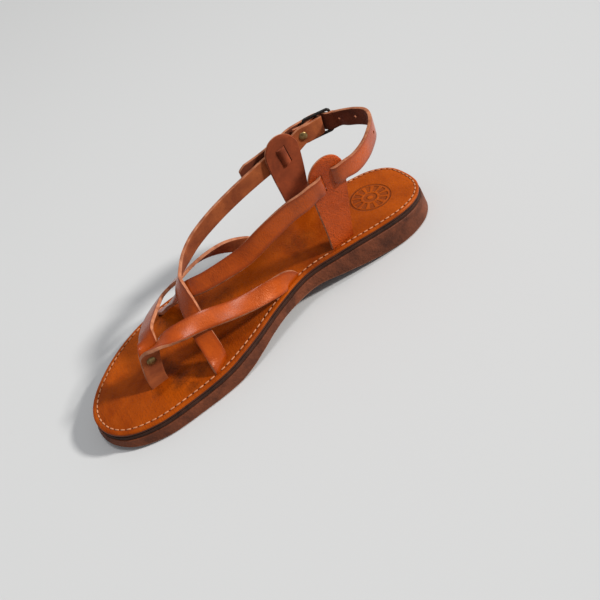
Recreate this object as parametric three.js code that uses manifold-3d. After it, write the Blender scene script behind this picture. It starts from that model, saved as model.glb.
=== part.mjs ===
// Strappy leather toe-post sandal for the right foot.
// Units are millimetres and Z is up. The sole stands on Z = 0, the toe points to -Y,
// the heel to +Y, and the medial (inner) side of the foot lies at +X.
// Four flat straps come up through slits in the insole, cross over the instep and pass
// through two leather ears beside the heel; the heel strap closes in a pin buckle.

import * as THREE from "three";
import { mergeVertices } from "three/addons/utils/BufferGeometryUtils.js";
import Module from "manifold-3d";

const wasm = await Module();
wasm.setup();

// Sole sizes
const INSOLE_LENGTH = 258;
const BALL_WIDTH = 90;
const HEEL_HEIGHT = 20;
const INSOLE_THICKNESS = 3;
const MIDSOLE_THICKNESS = 2.4;
const MIDSOLE_REVEAL = 0.5;
const OUTSOLE_REVEAL = 0.9;
const OUTSOLE_FLARE = 2.4;
const OUTSOLE_BEVEL = 1;
const MIDSOLE_BEVEL = 0.4;
const INSOLE_BEVEL = 0.6;

// Strap and ear sizes
const STRAP_WIDTH = 12;
const STRAP_THICKNESS = 2;
const STRAP_RISE = 50;
const EAR_THICKNESS = 2.2;
const EAR_LENGTH = 62;
const EAR_HEAD_RADIUS = 12.5;
const EAR_BASE_WIDTH = 17;
const EAR_ROOT = 2.8;
const SLIT_SPACING = 8;
const SLIT_SLOPE = 3.4;

// Buckle and rivet sizes
const BUCKLE_LENGTH = 20.8;
const BUCKLE_WIRE = 1.8;
const BUCKLE_SIDE_PLAY = 0.7;
const BUCKLE_CORNER = 2.4;
const WIRE_BEVEL = 0.35;
const PRONG_RADIUS = 0.6;
const RIVET_HEAD_RADIUS = 3;
const RIVET_HEAD_HEIGHT = 0.9;
const RIVET_SHAFT_RADIUS = 1.5;
const POST_RIVET_DROP = 0.36;

// Clearances
const LAYER_GAP = 0.3;
const SLIT_GAP = 0.4;
const METAL_GAP = 0.3;
const PLY_OVERLAP = 0.1;

// Mesh densities
const OUTLINE_STEPS = 64;
const SOLE_RINGS = 4;
const ROUND_STEPS = 16;

// Outline of the insole seen from above, once round from the tip of the toe along the
// medial side to the heel and back along the lateral side.
// along: share of the insole length from the middle, heel positive.
// across: share of the ball width from the centre line, medial positive.
const OUTLINE = [
  { along: -0.510, across: 0.085 },
  { along: -0.497, across: 0.225 },
  { along: -0.462, across: 0.340 },
  { along: -0.390, across: 0.427 },
  { along: -0.290, across: 0.453 },
  { along: -0.190, across: 0.451 },
  { along: -0.095, across: 0.397 },
  { along: 0.000, across: 0.318 },
  { along: 0.097, across: 0.268 },
  { along: 0.195, across: 0.306 },
  { along: 0.295, across: 0.344 },
  { along: 0.388, across: 0.347 },
  { along: 0.448, across: 0.285 },
  { along: 0.482, across: 0.170 },
  { along: 0.491, across: 0.010 },
  { along: 0.481, across: -0.155 },
  { along: 0.440, across: -0.258 },
  { along: 0.370, across: -0.301 },
  { along: 0.290, across: -0.318 },
  { along: 0.195, across: -0.346 },
  { along: 0.097, across: -0.375 },
  { along: 0.000, across: -0.418 },
  { along: -0.097, across: -0.488 },
  { along: -0.190, across: -0.541 },
  { along: -0.275, across: -0.535 },
  { along: -0.360, across: -0.458 },
  { along: -0.430, across: -0.330 },
  { along: -0.480, across: -0.180 },
  { along: -0.505, across: -0.040 },
];

// Side profile of the sole at stations along it.
// top: height of the insole's upper face; lift: height of the outsole's underside above
// the floor. Both are shares of the heel height.
const PROFILE = [
  { along: -0.530, top: 0.71, lift: 0.200 },
  { along: -0.480, top: 0.68, lift: 0.110 },
  { along: -0.430, top: 0.66, lift: 0.040 },
  { along: -0.370, top: 0.66, lift: 0.000 },
  { along: -0.290, top: 0.67, lift: 0.000 },
  { along: -0.190, top: 0.73, lift: 0.000 },
  { along: -0.140, top: 0.80, lift: 0.080 },
  { along: -0.100, top: 0.86, lift: 0.220 },
  { along: -0.050, top: 0.95, lift: 0.390 },
  { along: 0.020, top: 1.06, lift: 0.480 },
  { along: 0.100, top: 1.15, lift: 0.460 },
  { along: 0.180, top: 1.19, lift: 0.310 },
  { along: 0.240, top: 1.19, lift: 0.180 },
  { along: 0.310, top: 1.14, lift: 0.060 },
  { along: 0.360, top: 1.10, lift: 0.000 },
  { along: 0.530, top: 0.94, lift: 0.000 },
];

// Paths of the straps, each row a section at the middle of the strap's thickness.
// across and along are shares as in the outline; above is the height over the insole's
// upper face as a share of STRAP_RISE; faceX, faceY, faceZ give the way the grain looks.

// Medial branch of the toe post, back to the slit at the medial arch.
const STRAP_MEDIAL = [
  { across: 0.1356, along: -0.3372, above: -0.056, faceX: -1, faceY: 0, faceZ: 0 },
  { across: 0.1356, along: -0.3333, above: 0.114, faceX: -1, faceY: 0, faceZ: 0 },
  { across: 0.1356, along: -0.3236, above: 0.284, faceX: -1, faceY: 0, faceZ: 0 },
  { across: 0.1356, along: -0.3145, above: 0.420, faceX: -1, faceY: 0, faceZ: 0 },
  { across: 0.1480, along: -0.3040, above: 0.500, faceX: -0.85, faceY: -0.2, faceZ: 0.4 },
  { across: 0.1720, along: -0.2860, above: 0.545, faceX: -0.5, faceY: -0.35, faceZ: 0.75 },
  { across: 0.1850, along: -0.2560, above: 0.548, faceX: 0, faceY: -0.35, faceZ: 0.92 },
  { across: 0.2000, along: -0.2200, above: 0.520, faceX: 0.3, faceY: -0.3, faceZ: 0.9 },
  { across: 0.2300, along: -0.1652, above: 0.471, faceX: 0.5, faceY: -0.2, faceZ: 0.8 },
  { across: 0.2650, along: -0.1071, above: 0.366, faceX: 0.42, faceY: -0.1, faceZ: 0.9 },
  { across: 0.2860, along: -0.0443, above: 0.260, faceX: 0.55, faceY: 0, faceZ: 0.8 },
  { across: 0.2800, along: 0.0111, above: 0.165, faceX: 0.8, faceY: 0.1, faceZ: 0.5 },
  { across: 0.2520, along: 0.0520, above: 0.070, faceX: 1, faceY: 0.1, faceZ: 0.1 },
  { across: 0.2330, along: 0.0640, above: -0.052, faceX: 1, faceY: 0.1, faceZ: 0 },
];

// Lateral branch of the toe post, back to the slit at the lateral arch.
const STRAP_LATERAL = [
  { across: 0.1144, along: -0.3372, above: -0.056, faceX: 1, faceY: 0, faceZ: 0 },
  { across: 0.1144, along: -0.3333, above: 0.114, faceX: 1, faceY: 0, faceZ: 0 },
  { across: 0.1144, along: -0.3236, above: 0.284, faceX: 1, faceY: 0, faceZ: 0 },
  { across: 0.1144, along: -0.3145, above: 0.420, faceX: 1, faceY: 0, faceZ: 0 },
  { across: 0.1020, along: -0.3060, above: 0.500, faceX: 0.85, faceY: -0.2, faceZ: 0.4 },
  { across: 0.0650, along: -0.2975, above: 0.548, faceX: 0.5, faceY: -0.4, faceZ: 0.75 },
  { across: 0.0050, along: -0.2900, above: 0.556, faceX: 0.15, faceY: -0.5, faceZ: 0.85 },
  { across: -0.0850, along: -0.2720, above: 0.535, faceX: 0, faceY: -0.5, faceZ: 0.85 },
  { across: -0.1740, along: -0.2434, above: 0.517, faceX: -0.3, faceY: -0.42, faceZ: 0.85 },
  { across: -0.2517, along: -0.2094, above: 0.495, faceX: -0.5, faceY: -0.35, faceZ: 0.75 },
  { across: -0.3240, along: -0.1564, above: 0.435, faceX: -0.45, faceY: -0.3, faceZ: 0.85 },
  { across: -0.3530, along: -0.1052, above: 0.420, faceX: -0.55, faceY: -0.1, faceZ: 0.83 },
  { across: -0.3560, along: -0.0563, above: 0.385, faceX: -0.68, faceY: 0, faceZ: 0.72 },
  { across: -0.3560, along: -0.0082, above: 0.290, faceX: -0.85, faceY: 0, faceZ: 0.5 },
  { across: -0.3440, along: 0.0311, above: 0.165, faceX: -0.95, faceY: 0, faceZ: 0.3 },
  { across: -0.3240, along: 0.0540, above: 0.060, faceX: -1, faceY: -0.1, faceZ: 0.1 },
  { across: -0.3140, along: 0.0620, above: -0.052, faceX: -1, faceY: -0.1, faceZ: 0 },
];

// From the medial forefoot slit over the instep to the lateral ear.
const STRAP_OVER = [
  { across: 0.3910, along: -0.2112, above: -0.052, faceX: 1, faceY: -0.1, faceZ: 0 },
  { across: 0.3960, along: -0.2093, above: 0.023, faceX: 1, faceY: -0.1, faceZ: 0.1 },
  { across: 0.3690, along: -0.2000, above: 0.099, faceX: 0.9, faceY: -0.15, faceZ: 0.4 },
  { across: 0.3240, along: -0.1940, above: 0.209, faceX: 0.75, faceY: -0.25, faceZ: 0.6 },
  { across: 0.2526, along: -0.1890, above: 0.371, faceX: 0.6, faceY: -0.35, faceZ: 0.7 },
  { across: 0.1934, along: -0.1845, above: 0.473, faceX: 0.45, faceY: -0.45, faceZ: 0.75 },
  { across: 0.1220, along: -0.1771, above: 0.566, faceX: 0.25, faceY: -0.55, faceZ: 0.8 },
  { across: 0.0130, along: -0.1705, above: 0.612, faceX: 0, faceY: -0.65, faceZ: 0.75 },
  { across: -0.1275, along: -0.1594, above: 0.641, faceX: -0.35, faceY: -0.7, faceZ: 0.6 },
  { across: -0.2150, along: -0.1333, above: 0.664, faceX: -0.6, faceY: -0.6, faceZ: 0.5 },
  { across: -0.2670, along: -0.1023, above: 0.700, faceX: -0.85, faceY: -0.4, faceZ: 0.35 },
  { across: -0.3110, along: -0.0605, above: 0.735, faceX: -0.95, faceY: -0.2, faceZ: 0.25 },
  { across: -0.3400, along: 0.0078, above: 0.769, faceX: -1, faceY: -0.05, faceZ: 0.15 },
  { across: -0.3540, along: 0.0862, above: 0.795, faceX: -1, faceY: 0, faceZ: 0.1 },
  { across: -0.3600, along: 0.1538, above: 0.815, faceX: -1, faceY: 0, faceZ: 0.05 },
];

// From the lateral forefoot slit under the strap above to the medial ear.
const STRAP_UNDER = [
  { across: -0.4710, along: -0.2209, above: -0.052, faceX: -1, faceY: -0.1, faceZ: 0 },
  { across: -0.4670, along: -0.2202, above: 0.021, faceX: -1, faceY: -0.1, faceZ: 0.15 },
  { across: -0.3740, along: -0.2101, above: 0.132, faceX: -0.8, faceY: -0.25, faceZ: 0.5 },
  { across: -0.2266, along: -0.1871, above: 0.373, faceX: -0.6, faceY: -0.4, faceZ: 0.7 },
  { across: -0.0760, along: -0.1645, above: 0.581, faceX: -0.3, faceY: -0.6, faceZ: 0.75 },
  { across: -0.0060, along: -0.1440, above: 0.635, faceX: 0, faceY: -0.6, faceZ: 0.8 },
  { across: 0.0618, along: -0.1099, above: 0.657, faceX: 0.3, faceY: -0.45, faceZ: 0.8 },
  { across: 0.1265, along: -0.0589, above: 0.679, faceX: 0.5, faceY: -0.3, faceZ: 0.8 },
  { across: 0.1780, along: -0.0055, above: 0.704, faceX: 0.7, faceY: -0.15, faceZ: 0.6 },
  { across: 0.2380, along: 0.0609, above: 0.821, faceX: 0.85, faceY: -0.05, faceZ: 0.4 },
  { across: 0.2900, along: 0.1269, above: 0.922, faceX: 0.97, faceY: 0, faceZ: 0.2 },
  { across: 0.3230, along: 0.1600, above: 0.955, faceX: 1, faceY: 0, faceZ: 0.08 },
];

// Round the back of the heel, from the medial ear to the buckle.
const STRAP_HEEL = [
  { across: 0.3130, along: 0.3130, above: 0.982, faceX: 0.96, faceY: 0.28, faceZ: 0 },
  { across: 0.2600, along: 0.3550, above: 0.982, faceX: 0.83, faceY: 0.56, faceZ: 0 },
  { across: 0.1900, along: 0.3900, above: 0.998, faceX: 0.65, faceY: 0.76, faceZ: 0 },
  { across: 0.0950, along: 0.4234, above: 1.015, faceX: 0.35, faceY: 0.94, faceZ: 0 },
  { across: -0.0050, along: 0.4390, above: 1.040, faceX: 0, faceY: 1, faceZ: 0 },
  { across: -0.1150, along: 0.4340, above: 1.015, faceX: -0.3, faceY: 0.94, faceZ: 0 },
  { across: -0.2200, along: 0.4200, above: 0.975, faceX: -0.6, faceY: 0.78, faceZ: 0 },
];

// Pointed tail of the heel strap beyond the buckle, outside the lateral ear.
const STRAP_TAIL = [
  { across: -0.4120, along: 0.2900, above: 0.945, faceX: -1, faceY: 0.05, faceZ: 0 },
  { across: -0.4030, along: 0.2450, above: 0.910, faceX: -1, faceY: 0, faceZ: 0 },
  { across: -0.4000, along: 0.1900, above: 0.890, faceX: -1, faceY: 0, faceZ: 0 },
  { across: -0.3980, along: 0.1260, above: 0.900, faceX: -1, faceY: 0, faceZ: 0 },
];

// Ears beside the heel: reach is a share of EAR_LENGTH, foot is where the ear leaves the
// insole, slits the middle of its two slits, slitShare their distance as a share of
// SLIT_SPACING, strapRise the climb of the strap there.
const EARS = {
  medial: {
    side: 1,
    reach: 1.06,
    slitShare: 1,
    foot: { across: 0.255, along: 0.2180 },
    slits: { across: 0.3040, along: 0.2345, above: 0.995 },
    strapRise: 0.02,
  },
  lateral: {
    side: -1,
    reach: 0.93,
    slitShare: 0.7,
    foot: { across: -0.300, along: 0.2230 },
    slits: { across: -0.3280, along: 0.2400, above: 0.858 },
    strapRise: 0.06,
  },
};

// The buckle on the lateral side, given at the middle of its centre bar.
const BUCKLE = {
  across: -0.3620,
  along: 0.3650,
  above: 0.930,
  headingX: 0.22,
  headingZ: -0.07,
};
const FOLD_SHARE = 1.9;
const LOOP_RIVET_SHARE = 1.38;

// Helpers for curves and solids

// Height at a station, a smooth curve through the rows that never overshoots them.
function profileAt(along, column) {
  const last = PROFILE.length - 1;
  if (along <= PROFILE[0].along) return PROFILE[0][column];
  if (along >= PROFILE[last].along) return PROFILE[last][column];
  let i = 0;
  while (PROFILE[i + 1].along < along) i += 1;
  const before = PROFILE[Math.max(i - 1, 0)];
  const a = PROFILE[i];
  const b = PROFILE[i + 1];
  const after = PROFILE[Math.min(i + 2, last)];
  const span = b.along - a.along;
  const t = (along - a.along) / span;
  const slopeA = limitedSlope(before, a, b, column);
  const slopeB = limitedSlope(a, b, after, column);
  const h = t * t * (3 - 2 * t);
  const m = t * (1 - t) * span;
  return a[column] + (b[column] - a[column]) * h + m * ((1 - t) * slopeA - t * slopeB);
}

// Slope at the middle row, zero where the table turns or lies flat.
function limitedSlope(p, q, r, column) {
  const left = (q[column] - p[column]) / Math.max(q.along - p.along, 1e-6);
  const right = (r[column] - q[column]) / Math.max(r.along - q.along, 1e-6);
  if (left * right <= 0) return 0;
  return (2 * left * right) / (left + right);
}

function insoleTop(y) {
  return profileAt(y / INSOLE_LENGTH, "top") * HEEL_HEIGHT;
}

function underside(y) {
  return profileAt(y / INSOLE_LENGTH, "lift") * HEEL_HEIGHT;
}

function place(row) {
  const y = row.along * INSOLE_LENGTH;
  const z = insoleTop(y) + (row.above || 0) * STRAP_RISE;
  return new THREE.Vector3(row.across * BALL_WIDTH, y, z);
}

function section(row) {
  const face = new THREE.Vector3(row.faceX, row.faceY, row.faceZ).normalize();
  return { at: place(row), face };
}

// Welds a geometry, drops collapsed triangles and makes a solid with outward faces.
function solid(geometry) {
  const bare = geometry.clone();
  for (const name of Object.keys(bare.attributes)) {
    if (name !== "position") bare.deleteAttribute(name);
  }
  const welded = mergeVertices(bare, 1e-4);
  const points = welded.attributes.position.array;
  const index = welded.index.array;
  const kept = [];
  for (let i = 0; i < index.length; i += 3) {
    const [a, b, c] = [index[i], index[i + 1], index[i + 2]];
    if (a !== b && b !== c && a !== c) kept.push(a, b, c);
  }
  if (signedVolume(points, kept) < 0) kept.reverse();
  const mesh = new wasm.Mesh({
    numProp: 3,
    vertProperties: new Float32Array(points),
    triVerts: new Uint32Array(kept),
  });
  return new wasm.Manifold(mesh);
}

function signedVolume(points, index) {
  let total = 0;
  const a = new THREE.Vector3();
  const b = new THREE.Vector3();
  const c = new THREE.Vector3();
  for (let i = 0; i < index.length; i += 3) {
    a.fromArray(points, index[i] * 3);
    b.fromArray(points, index[i + 1] * 3);
    c.fromArray(points, index[i + 2] * 3);
    total += a.dot(b.cross(c));
  }
  return total;
}

function toMesh(body, name, look) {
  const source = body.getMesh();
  const geometry = new THREE.BufferGeometry();
  const positions = new THREE.BufferAttribute(new Float32Array(source.vertProperties), 3);
  geometry.setAttribute("position", positions);
  geometry.setIndex(new THREE.BufferAttribute(new Uint32Array(source.triVerts), 1));
  geometry.computeVertexNormals();
  const mesh = new THREE.Mesh(geometry, new THREE.MeshStandardMaterial(look));
  mesh.name = name;
  return mesh;
}

// Sole layers

const outlineCurve = new THREE.CatmullRomCurve3(
  OUTLINE.map((row) => new THREE.Vector3(row.across * BALL_WIDTH, row.along * INSOLE_LENGTH, 0)),
  true,
  "centripetal",
);
const outlinePoints = outlineCurve.getSpacedPoints(OUTLINE_STEPS);

function outlineAt(step, out) {
  const i = step % OUTLINE_STEPS;
  const point = outlinePoints[i];
  const next = outlinePoints[(i + 1) % OUTLINE_STEPS];
  const back = outlinePoints[(i + OUTLINE_STEPS - 1) % OUTLINE_STEPS];
  const run = next.clone().sub(back).normalize();
  const reach = out * OUTLINE_TURN;
  return new THREE.Vector3(point.x - run.y * reach, point.y + run.x * reach, 0);
}

const OUTLINE_TURN = turnOf(outlinePoints);

// +1 or -1, so that a positive reach moves outward whichever way the table runs.
function turnOf(points) {
  let area = 0;
  for (let i = 0; i < OUTLINE_STEPS; i += 1) {
    const a = points[i];
    const b = points[(i + 1) % OUTLINE_STEPS];
    area += a.x * b.y - b.x * a.y;
  }
  return area > 0 ? -1 : 1;
}

// A layer is a turned disc whose rings follow the outline. Each row of its half section
// has share (0 at the middle, 1 at the edge), out (reach past the outline) and a height.
function soleLayer(bottom, top, bottomOut, topOut, bevel) {
  const rows = [];
  for (let ring = 0; ring < SOLE_RINGS; ring += 1) {
    rows.push({ share: ring / SOLE_RINGS, out: 0, height: bottom, add: 0 });
  }
  rows.push({ share: 1, out: bottomOut - bevel, height: bottom, add: 0 });
  rows.push({ share: 1, out: bottomOut, height: bottom, add: bevel });
  rows.push({ share: 1, out: topOut, height: top, add: -bevel });
  rows.push({ share: 1, out: topOut - bevel, height: top, add: 0 });
  for (let ring = SOLE_RINGS - 1; ring >= 0; ring -= 1) {
    rows.push({ share: ring / SOLE_RINGS, out: 0, height: top, add: 0 });
  }
  const profile = rows.map((row, i) => new THREE.Vector2(row.share, i / rows.length));
  const geometry = new THREE.LatheGeometry(profile, OUTLINE_STEPS);
  const position = geometry.attributes.position;
  for (let v = 0; v < position.count; v += 1) {
    const row = rows[v % rows.length];
    const edge = outlineAt(Math.floor(v / rows.length), row.out);
    const y = edge.y * row.share;
    position.setXYZ(v, edge.x * row.share, y, row.height(y) + row.add);
  }
  return solid(geometry);
}

const insoleBase = (y) => insoleTop(y) - INSOLE_THICKNESS;
const midsoleTop = (y) => insoleBase(y) - LAYER_GAP;
const midsoleBase = (y) => midsoleTop(y) - MIDSOLE_THICKNESS;
const outsoleTop = (y) => midsoleBase(y) - LAYER_GAP;

const outsole = soleLayer(underside, outsoleTop, OUTSOLE_FLARE, OUTSOLE_REVEAL, OUTSOLE_BEVEL);
const midsole = soleLayer(midsoleBase, midsoleTop, MIDSOLE_REVEAL, MIDSOLE_REVEAL, MIDSOLE_BEVEL);
let insole = soleLayer(insoleBase, insoleTop, 0, 0, INSOLE_BEVEL);

// Straps

// A strap is a long box bent along its path, its grain side kept to the given faces.
function ribbon(sections, width, thickness, steps) {
  const path = new THREE.CatmullRomCurve3(sections.map((s) => s.at), false, "centripetal");
  const faces = new THREE.CatmullRomCurve3(sections.map((s) => s.face), false, "centripetal");
  const geometry = new THREE.BoxGeometry(width, thickness, 1, 1, 1, steps);
  const position = geometry.attributes.position;
  for (let v = 0; v < position.count; v += 1) {
    const frame = frameAt(path, faces, position.getZ(v) + 0.5);
    const point = frame.at.clone();
    point.addScaledVector(frame.side, position.getX(v));
    point.addScaledVector(frame.face, position.getY(v));
    position.setXYZ(v, point.x, point.y, point.z);
  }
  return solid(geometry);
}

function frameAt(path, faces, share) {
  const t = Math.min(Math.max(share, 0), 1);
  const at = path.getPoint(t);
  const run = path.getTangent(t);
  const face = faces.getPoint(t).projectOnPlane(run).normalize();
  const side = new THREE.Vector3().crossVectors(run, face);
  return { at, run, face, side };
}

// Sections that carry a strap through the two slits of an ear, from outside the ear
// behind the bridge between the slits and out again.
const THREAD = [
  { slit: -1, shift: -2.3, out: 1 },
  { slit: -1, shift: -0.5, out: 0.86 },
  { slit: -1, shift: 0.5, out: -0.86 },
  { slit: 0, shift: 0, out: -1 },
  { slit: 1, shift: -0.5, out: -0.86 },
  { slit: 1, shift: 0.5, out: 0.86 },
  { slit: 1, shift: 2.3, out: 1 },
];

function earFrame(ear) {
  const foot = place(ear.foot);
  const slits = place(ear.slits);
  const up = slits.clone().sub(foot).normalize();
  const along = new THREE.Vector3(0, 1, ear.strapRise).normalize();
  const out = new THREE.Vector3().crossVectors(along, up).multiplyScalar(ear.side).normalize();
  const level = new THREE.Vector3().crossVectors(up, out).multiplyScalar(ear.side).normalize();
  return { foot, slits, up, along, level, out };
}

function threadThrough(ear) {
  const frame = earFrame(ear);
  const offset = (EAR_THICKNESS + STRAP_THICKNESS) / 2 + SLIT_GAP;
  return THREAD.map((row) => {
    const reach = (SLIT_SPACING * ear.slitShare) / 2;
    const forward = row.slit * reach + row.shift * SLIT_SLOPE;
    const at = frame.slits.clone();
    at.addScaledVector(frame.along, forward);
    at.addScaledVector(frame.out, row.out * offset);
    return { at, face: frame.out };
  });
}

// The buckle's own directions: run points to the heel, out away from the foot.
const buckleRun = new THREE.Vector3(BUCKLE.headingX, 1, BUCKLE.headingZ).normalize();
const buckleOut = new THREE.Vector3(-1, 0, 0).projectOnPlane(buckleRun).normalize();
const buckleUp = new THREE.Vector3().crossVectors(buckleRun, buckleOut).negate();
const buckleCentre = place(BUCKLE);

function buckleAt(run, out, up = 0) {
  const at = buckleCentre.clone();
  at.addScaledVector(buckleRun, run);
  at.addScaledVector(buckleOut, out);
  at.addScaledVector(buckleUp, up);
  return at;
}

const WIRE = BUCKLE_WIRE / 2;
const END_BAR = BUCKLE_LENGTH / 2 - WIRE;
const LOOP_RADIUS = WIRE * Math.SQRT2 - WIRE_BEVEL + METAL_GAP + STRAP_THICKNESS / 2;
const PLY_STEP = STRAP_THICKNESS - PLY_OVERLAP;
const PASS = WIRE + METAL_GAP + STRAP_THICKNESS / 2;

function buckleSection(row) {
  const face = buckleRun.clone().multiplyScalar(row.faceRun);
  face.addScaledVector(buckleOut, row.faceOut).normalize();
  return { at: buckleAt(row.run * END_BAR, row.out * PASS), face };
}

// Sections of the straps in the buckle. run is a share of END_BAR towards the heel; out is
// a share of PASS, the distance at which a strap just clears the flat frame.
const BAR_LOOP = LOOP_RADIUS / END_BAR;
const BAR_OUT = LOOP_RADIUS / PASS;
const BAR_DIAGONAL = Math.SQRT1_2;
const PLY_OUT = PLY_STEP / PASS;
const TURN_OVERLAP = PLY_OVERLAP / PASS;

// Strap over the instep: inside the frame and half way round the centre bar.
const TO_CENTRE_BAR = [
  { run: -1.42, out: -1 - PLY_OUT, faceRun: 0, faceOut: 1 },
  { run: -1.00, out: -1 - PLY_OUT, faceRun: 0, faceOut: 1 },
  { run: -0.45, out: -1.35 * BAR_OUT, faceRun: 0, faceOut: 1 },
  { run: 0.00, out: -BAR_OUT, faceRun: 0, faceOut: 1 },
  { run: BAR_LOOP * BAR_DIAGONAL, out: -BAR_OUT * BAR_DIAGONAL, faceRun: -1, faceOut: 1 },
  { run: BAR_LOOP, out: 0, faceRun: -1, faceOut: 0 },
  { run: BAR_LOOP, out: 2 * TURN_OVERLAP, faceRun: -1, faceOut: 0 },
];

// Its folded end: over the centre bar, back inside and riveted.
const FROM_CENTRE_BAR = [
  { run: BAR_LOOP, out: -TURN_OVERLAP, faceRun: -1, faceOut: 0 },
  { run: BAR_LOOP * BAR_DIAGONAL, out: BAR_OUT * BAR_DIAGONAL, faceRun: -1, faceOut: -1 },
  { run: 0.00, out: BAR_OUT, faceRun: 0, faceOut: -1 },
  { run: -0.45, out: 0.10 * BAR_OUT, faceRun: -0.4, faceOut: -1 },
  { run: -1.00, out: -1, faceRun: 0, faceOut: -1 },
  { run: -FOLD_SHARE, out: -1, faceRun: 0, faceOut: -1 },
];

// Heel strap: inside the heel end of the frame, then out and over the centre bar.
const THROUGH_FRAME = [
  { run: 1.27, out: -1.00, faceRun: 0, faceOut: 1 },
  { run: 1.00, out: -1.00, faceRun: 0, faceOut: 1 },
  { run: 0.86, out: -0.95, faceRun: 0.2, faceOut: 1 },
  { run: 0.65, out: -0.09, faceRun: 0.7, faceOut: 1 },
  { run: 0.40, out: 1.36, faceRun: 0.6, faceOut: 1 },
  { run: 0.00, out: BAR_OUT + PLY_OUT + 2 * METAL_GAP / PASS, faceRun: 0, faceOut: 1 },
  { run: -1.00, out: 1.60, faceRun: 0, faceOut: 1 },
];

const overStrap = [
  ...STRAP_OVER.map(section),
  ...threadThrough(EARS.lateral),
  ...TO_CENTRE_BAR.map(buckleSection),
];
const foldedEnd = FROM_CENTRE_BAR.map(buckleSection);
const underStrap = [
  ...STRAP_UNDER.map(section),
  ...threadThrough(EARS.medial),
  ...STRAP_HEEL.map(section),
  ...THROUGH_FRAME.map(buckleSection),
  ...STRAP_TAIL.map(section),
];

const STRAPS = [
  { sections: STRAP_MEDIAL.map(section), steps: 40, rooted: 2, trim: 0 },
  { sections: STRAP_LATERAL.map(section), steps: 44, rooted: 2, trim: 0 },
  { sections: overStrap, steps: 96, rooted: 1, trim: 0 },
  { sections: underStrap, steps: 124, rooted: 1, trim: 0 },
  { sections: foldedEnd, steps: 16, rooted: 0, trim: PLY_OVERLAP },
];

// The same path with its rooted ends drawn on, so that a cutter passes right through.
function lengthened(strap) {
  const reach = INSOLE_THICKNESS;
  const list = strap.sections.slice();
  const extend = (end, inner) => {
    const way = end.at.clone().sub(inner.at).normalize();
    return { at: end.at.clone().addScaledVector(way, reach), face: end.face };
  };
  if (strap.rooted > 0) list.unshift(extend(list[0], list[1]));
  if (strap.rooted > 1) list.push(extend(list[list.length - 1], list[list.length - 2]));
  return list;
}

function strapBody(strap) {
  const width = STRAP_WIDTH - 2 * strap.trim;
  return ribbon(strap.sections, width, STRAP_THICKNESS - strap.trim, strap.steps);
}

function strapCutter(strap, gap) {
  const wide = STRAP_WIDTH + 2 * gap;
  const thick = STRAP_THICKNESS + 2 * gap;
  return ribbon(lengthened(strap), wide, thick, strap.steps);
}

// Everything under the insole, which trims the rooted ends flush with its lower face.
const rootTrim = soleLayer(midsoleBase, insoleBase, 0, 0, INSOLE_BEVEL);

let upper = strapBody(STRAPS[0]);
for (const strap of STRAPS.slice(1)) upper = upper.add(strapBody(strap));
upper = upper.subtract(rootTrim);

// Ears: flat teardrops that stand in slits of the insole, slotted for their straps.

function earShape(ear) {
  const half = EAR_BASE_WIDTH / 2;
  const headAt = EAR_LENGTH * ear.reach - EAR_HEAD_RADIUS;
  const shape = new THREE.Shape();
  shape.moveTo(-half, -EAR_ROOT);
  shape.lineTo(half, -EAR_ROOT);
  shape.lineTo(half, 0);
  shape.bezierCurveTo(half, headAt * 0.45, EAR_HEAD_RADIUS, headAt * 0.6, EAR_HEAD_RADIUS, headAt);
  shape.absarc(0, headAt, EAR_HEAD_RADIUS, 0, Math.PI, false);
  shape.bezierCurveTo(-EAR_HEAD_RADIUS, headAt * 0.6, -half, headAt * 0.45, -half, 0);
  shape.lineTo(-half, -EAR_ROOT);
  return shape;
}

function earBlank(ear) {
  const frame = earFrame(ear);
  const depth = EAR_THICKNESS;
  const options = { depth, bevelEnabled: false, curveSegments: 10 };
  const geometry = new THREE.ExtrudeGeometry(earShape(ear), options);
  geometry.translate(0, 0, -depth / 2);
  const turn = new THREE.Matrix4().makeBasis(frame.level, frame.up, frame.out);
  turn.setPosition(frame.foot);
  geometry.applyMatrix4(turn);
  return solid(geometry);
}

// A plain block round the foot of an ear, for its slit in the insole.
function earSlit(ear) {
  const frame = earFrame(ear);
  const geometry = new THREE.BoxGeometry(
    EAR_BASE_WIDTH + 2 * SLIT_GAP,
    4 * EAR_ROOT,
    EAR_THICKNESS + 2 * SLIT_GAP,
  );
  const turn = new THREE.Matrix4().makeBasis(frame.level, frame.up, frame.out);
  turn.setPosition(frame.foot);
  geometry.applyMatrix4(turn);
  return solid(geometry);
}

function slottedEar(ear, strap) {
  return earBlank(ear).subtract(strapCutter(strap, METAL_GAP)).subtract(rootTrim);
}

const earMedial = slottedEar(EARS.medial, STRAPS[3]);
const earLateral = slottedEar(EARS.lateral, STRAPS[2]);

for (const strap of STRAPS.slice(0, 4)) insole = insole.subtract(strapCutter(strap, SLIT_GAP));
for (const ear of Object.values(EARS)) insole = insole.subtract(earSlit(ear));

// Buckle: a flat frame with a centre bar, and a prong hinged on the bar.

const buckleTurn = new THREE.Matrix4().makeBasis(buckleRun, buckleUp, buckleOut);
buckleTurn.setPosition(buckleCentre);
const FRAME_HALF_HEIGHT = STRAP_WIDTH / 2 + BUCKLE_SIDE_PLAY + BUCKLE_WIRE;

function roundedBox(path, left, right, low, high, radius) {
  path.moveTo(left + radius, low);
  path.lineTo(right - radius, low);
  path.quadraticCurveTo(right, low, right, low + radius);
  path.lineTo(right, high - radius);
  path.quadraticCurveTo(right, high, right - radius, high);
  path.lineTo(left + radius, high);
  path.quadraticCurveTo(left, high, left, high - radius);
  path.lineTo(left, low + radius);
  path.quadraticCurveTo(left, low, left + radius, low);
  return path;
}

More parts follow.
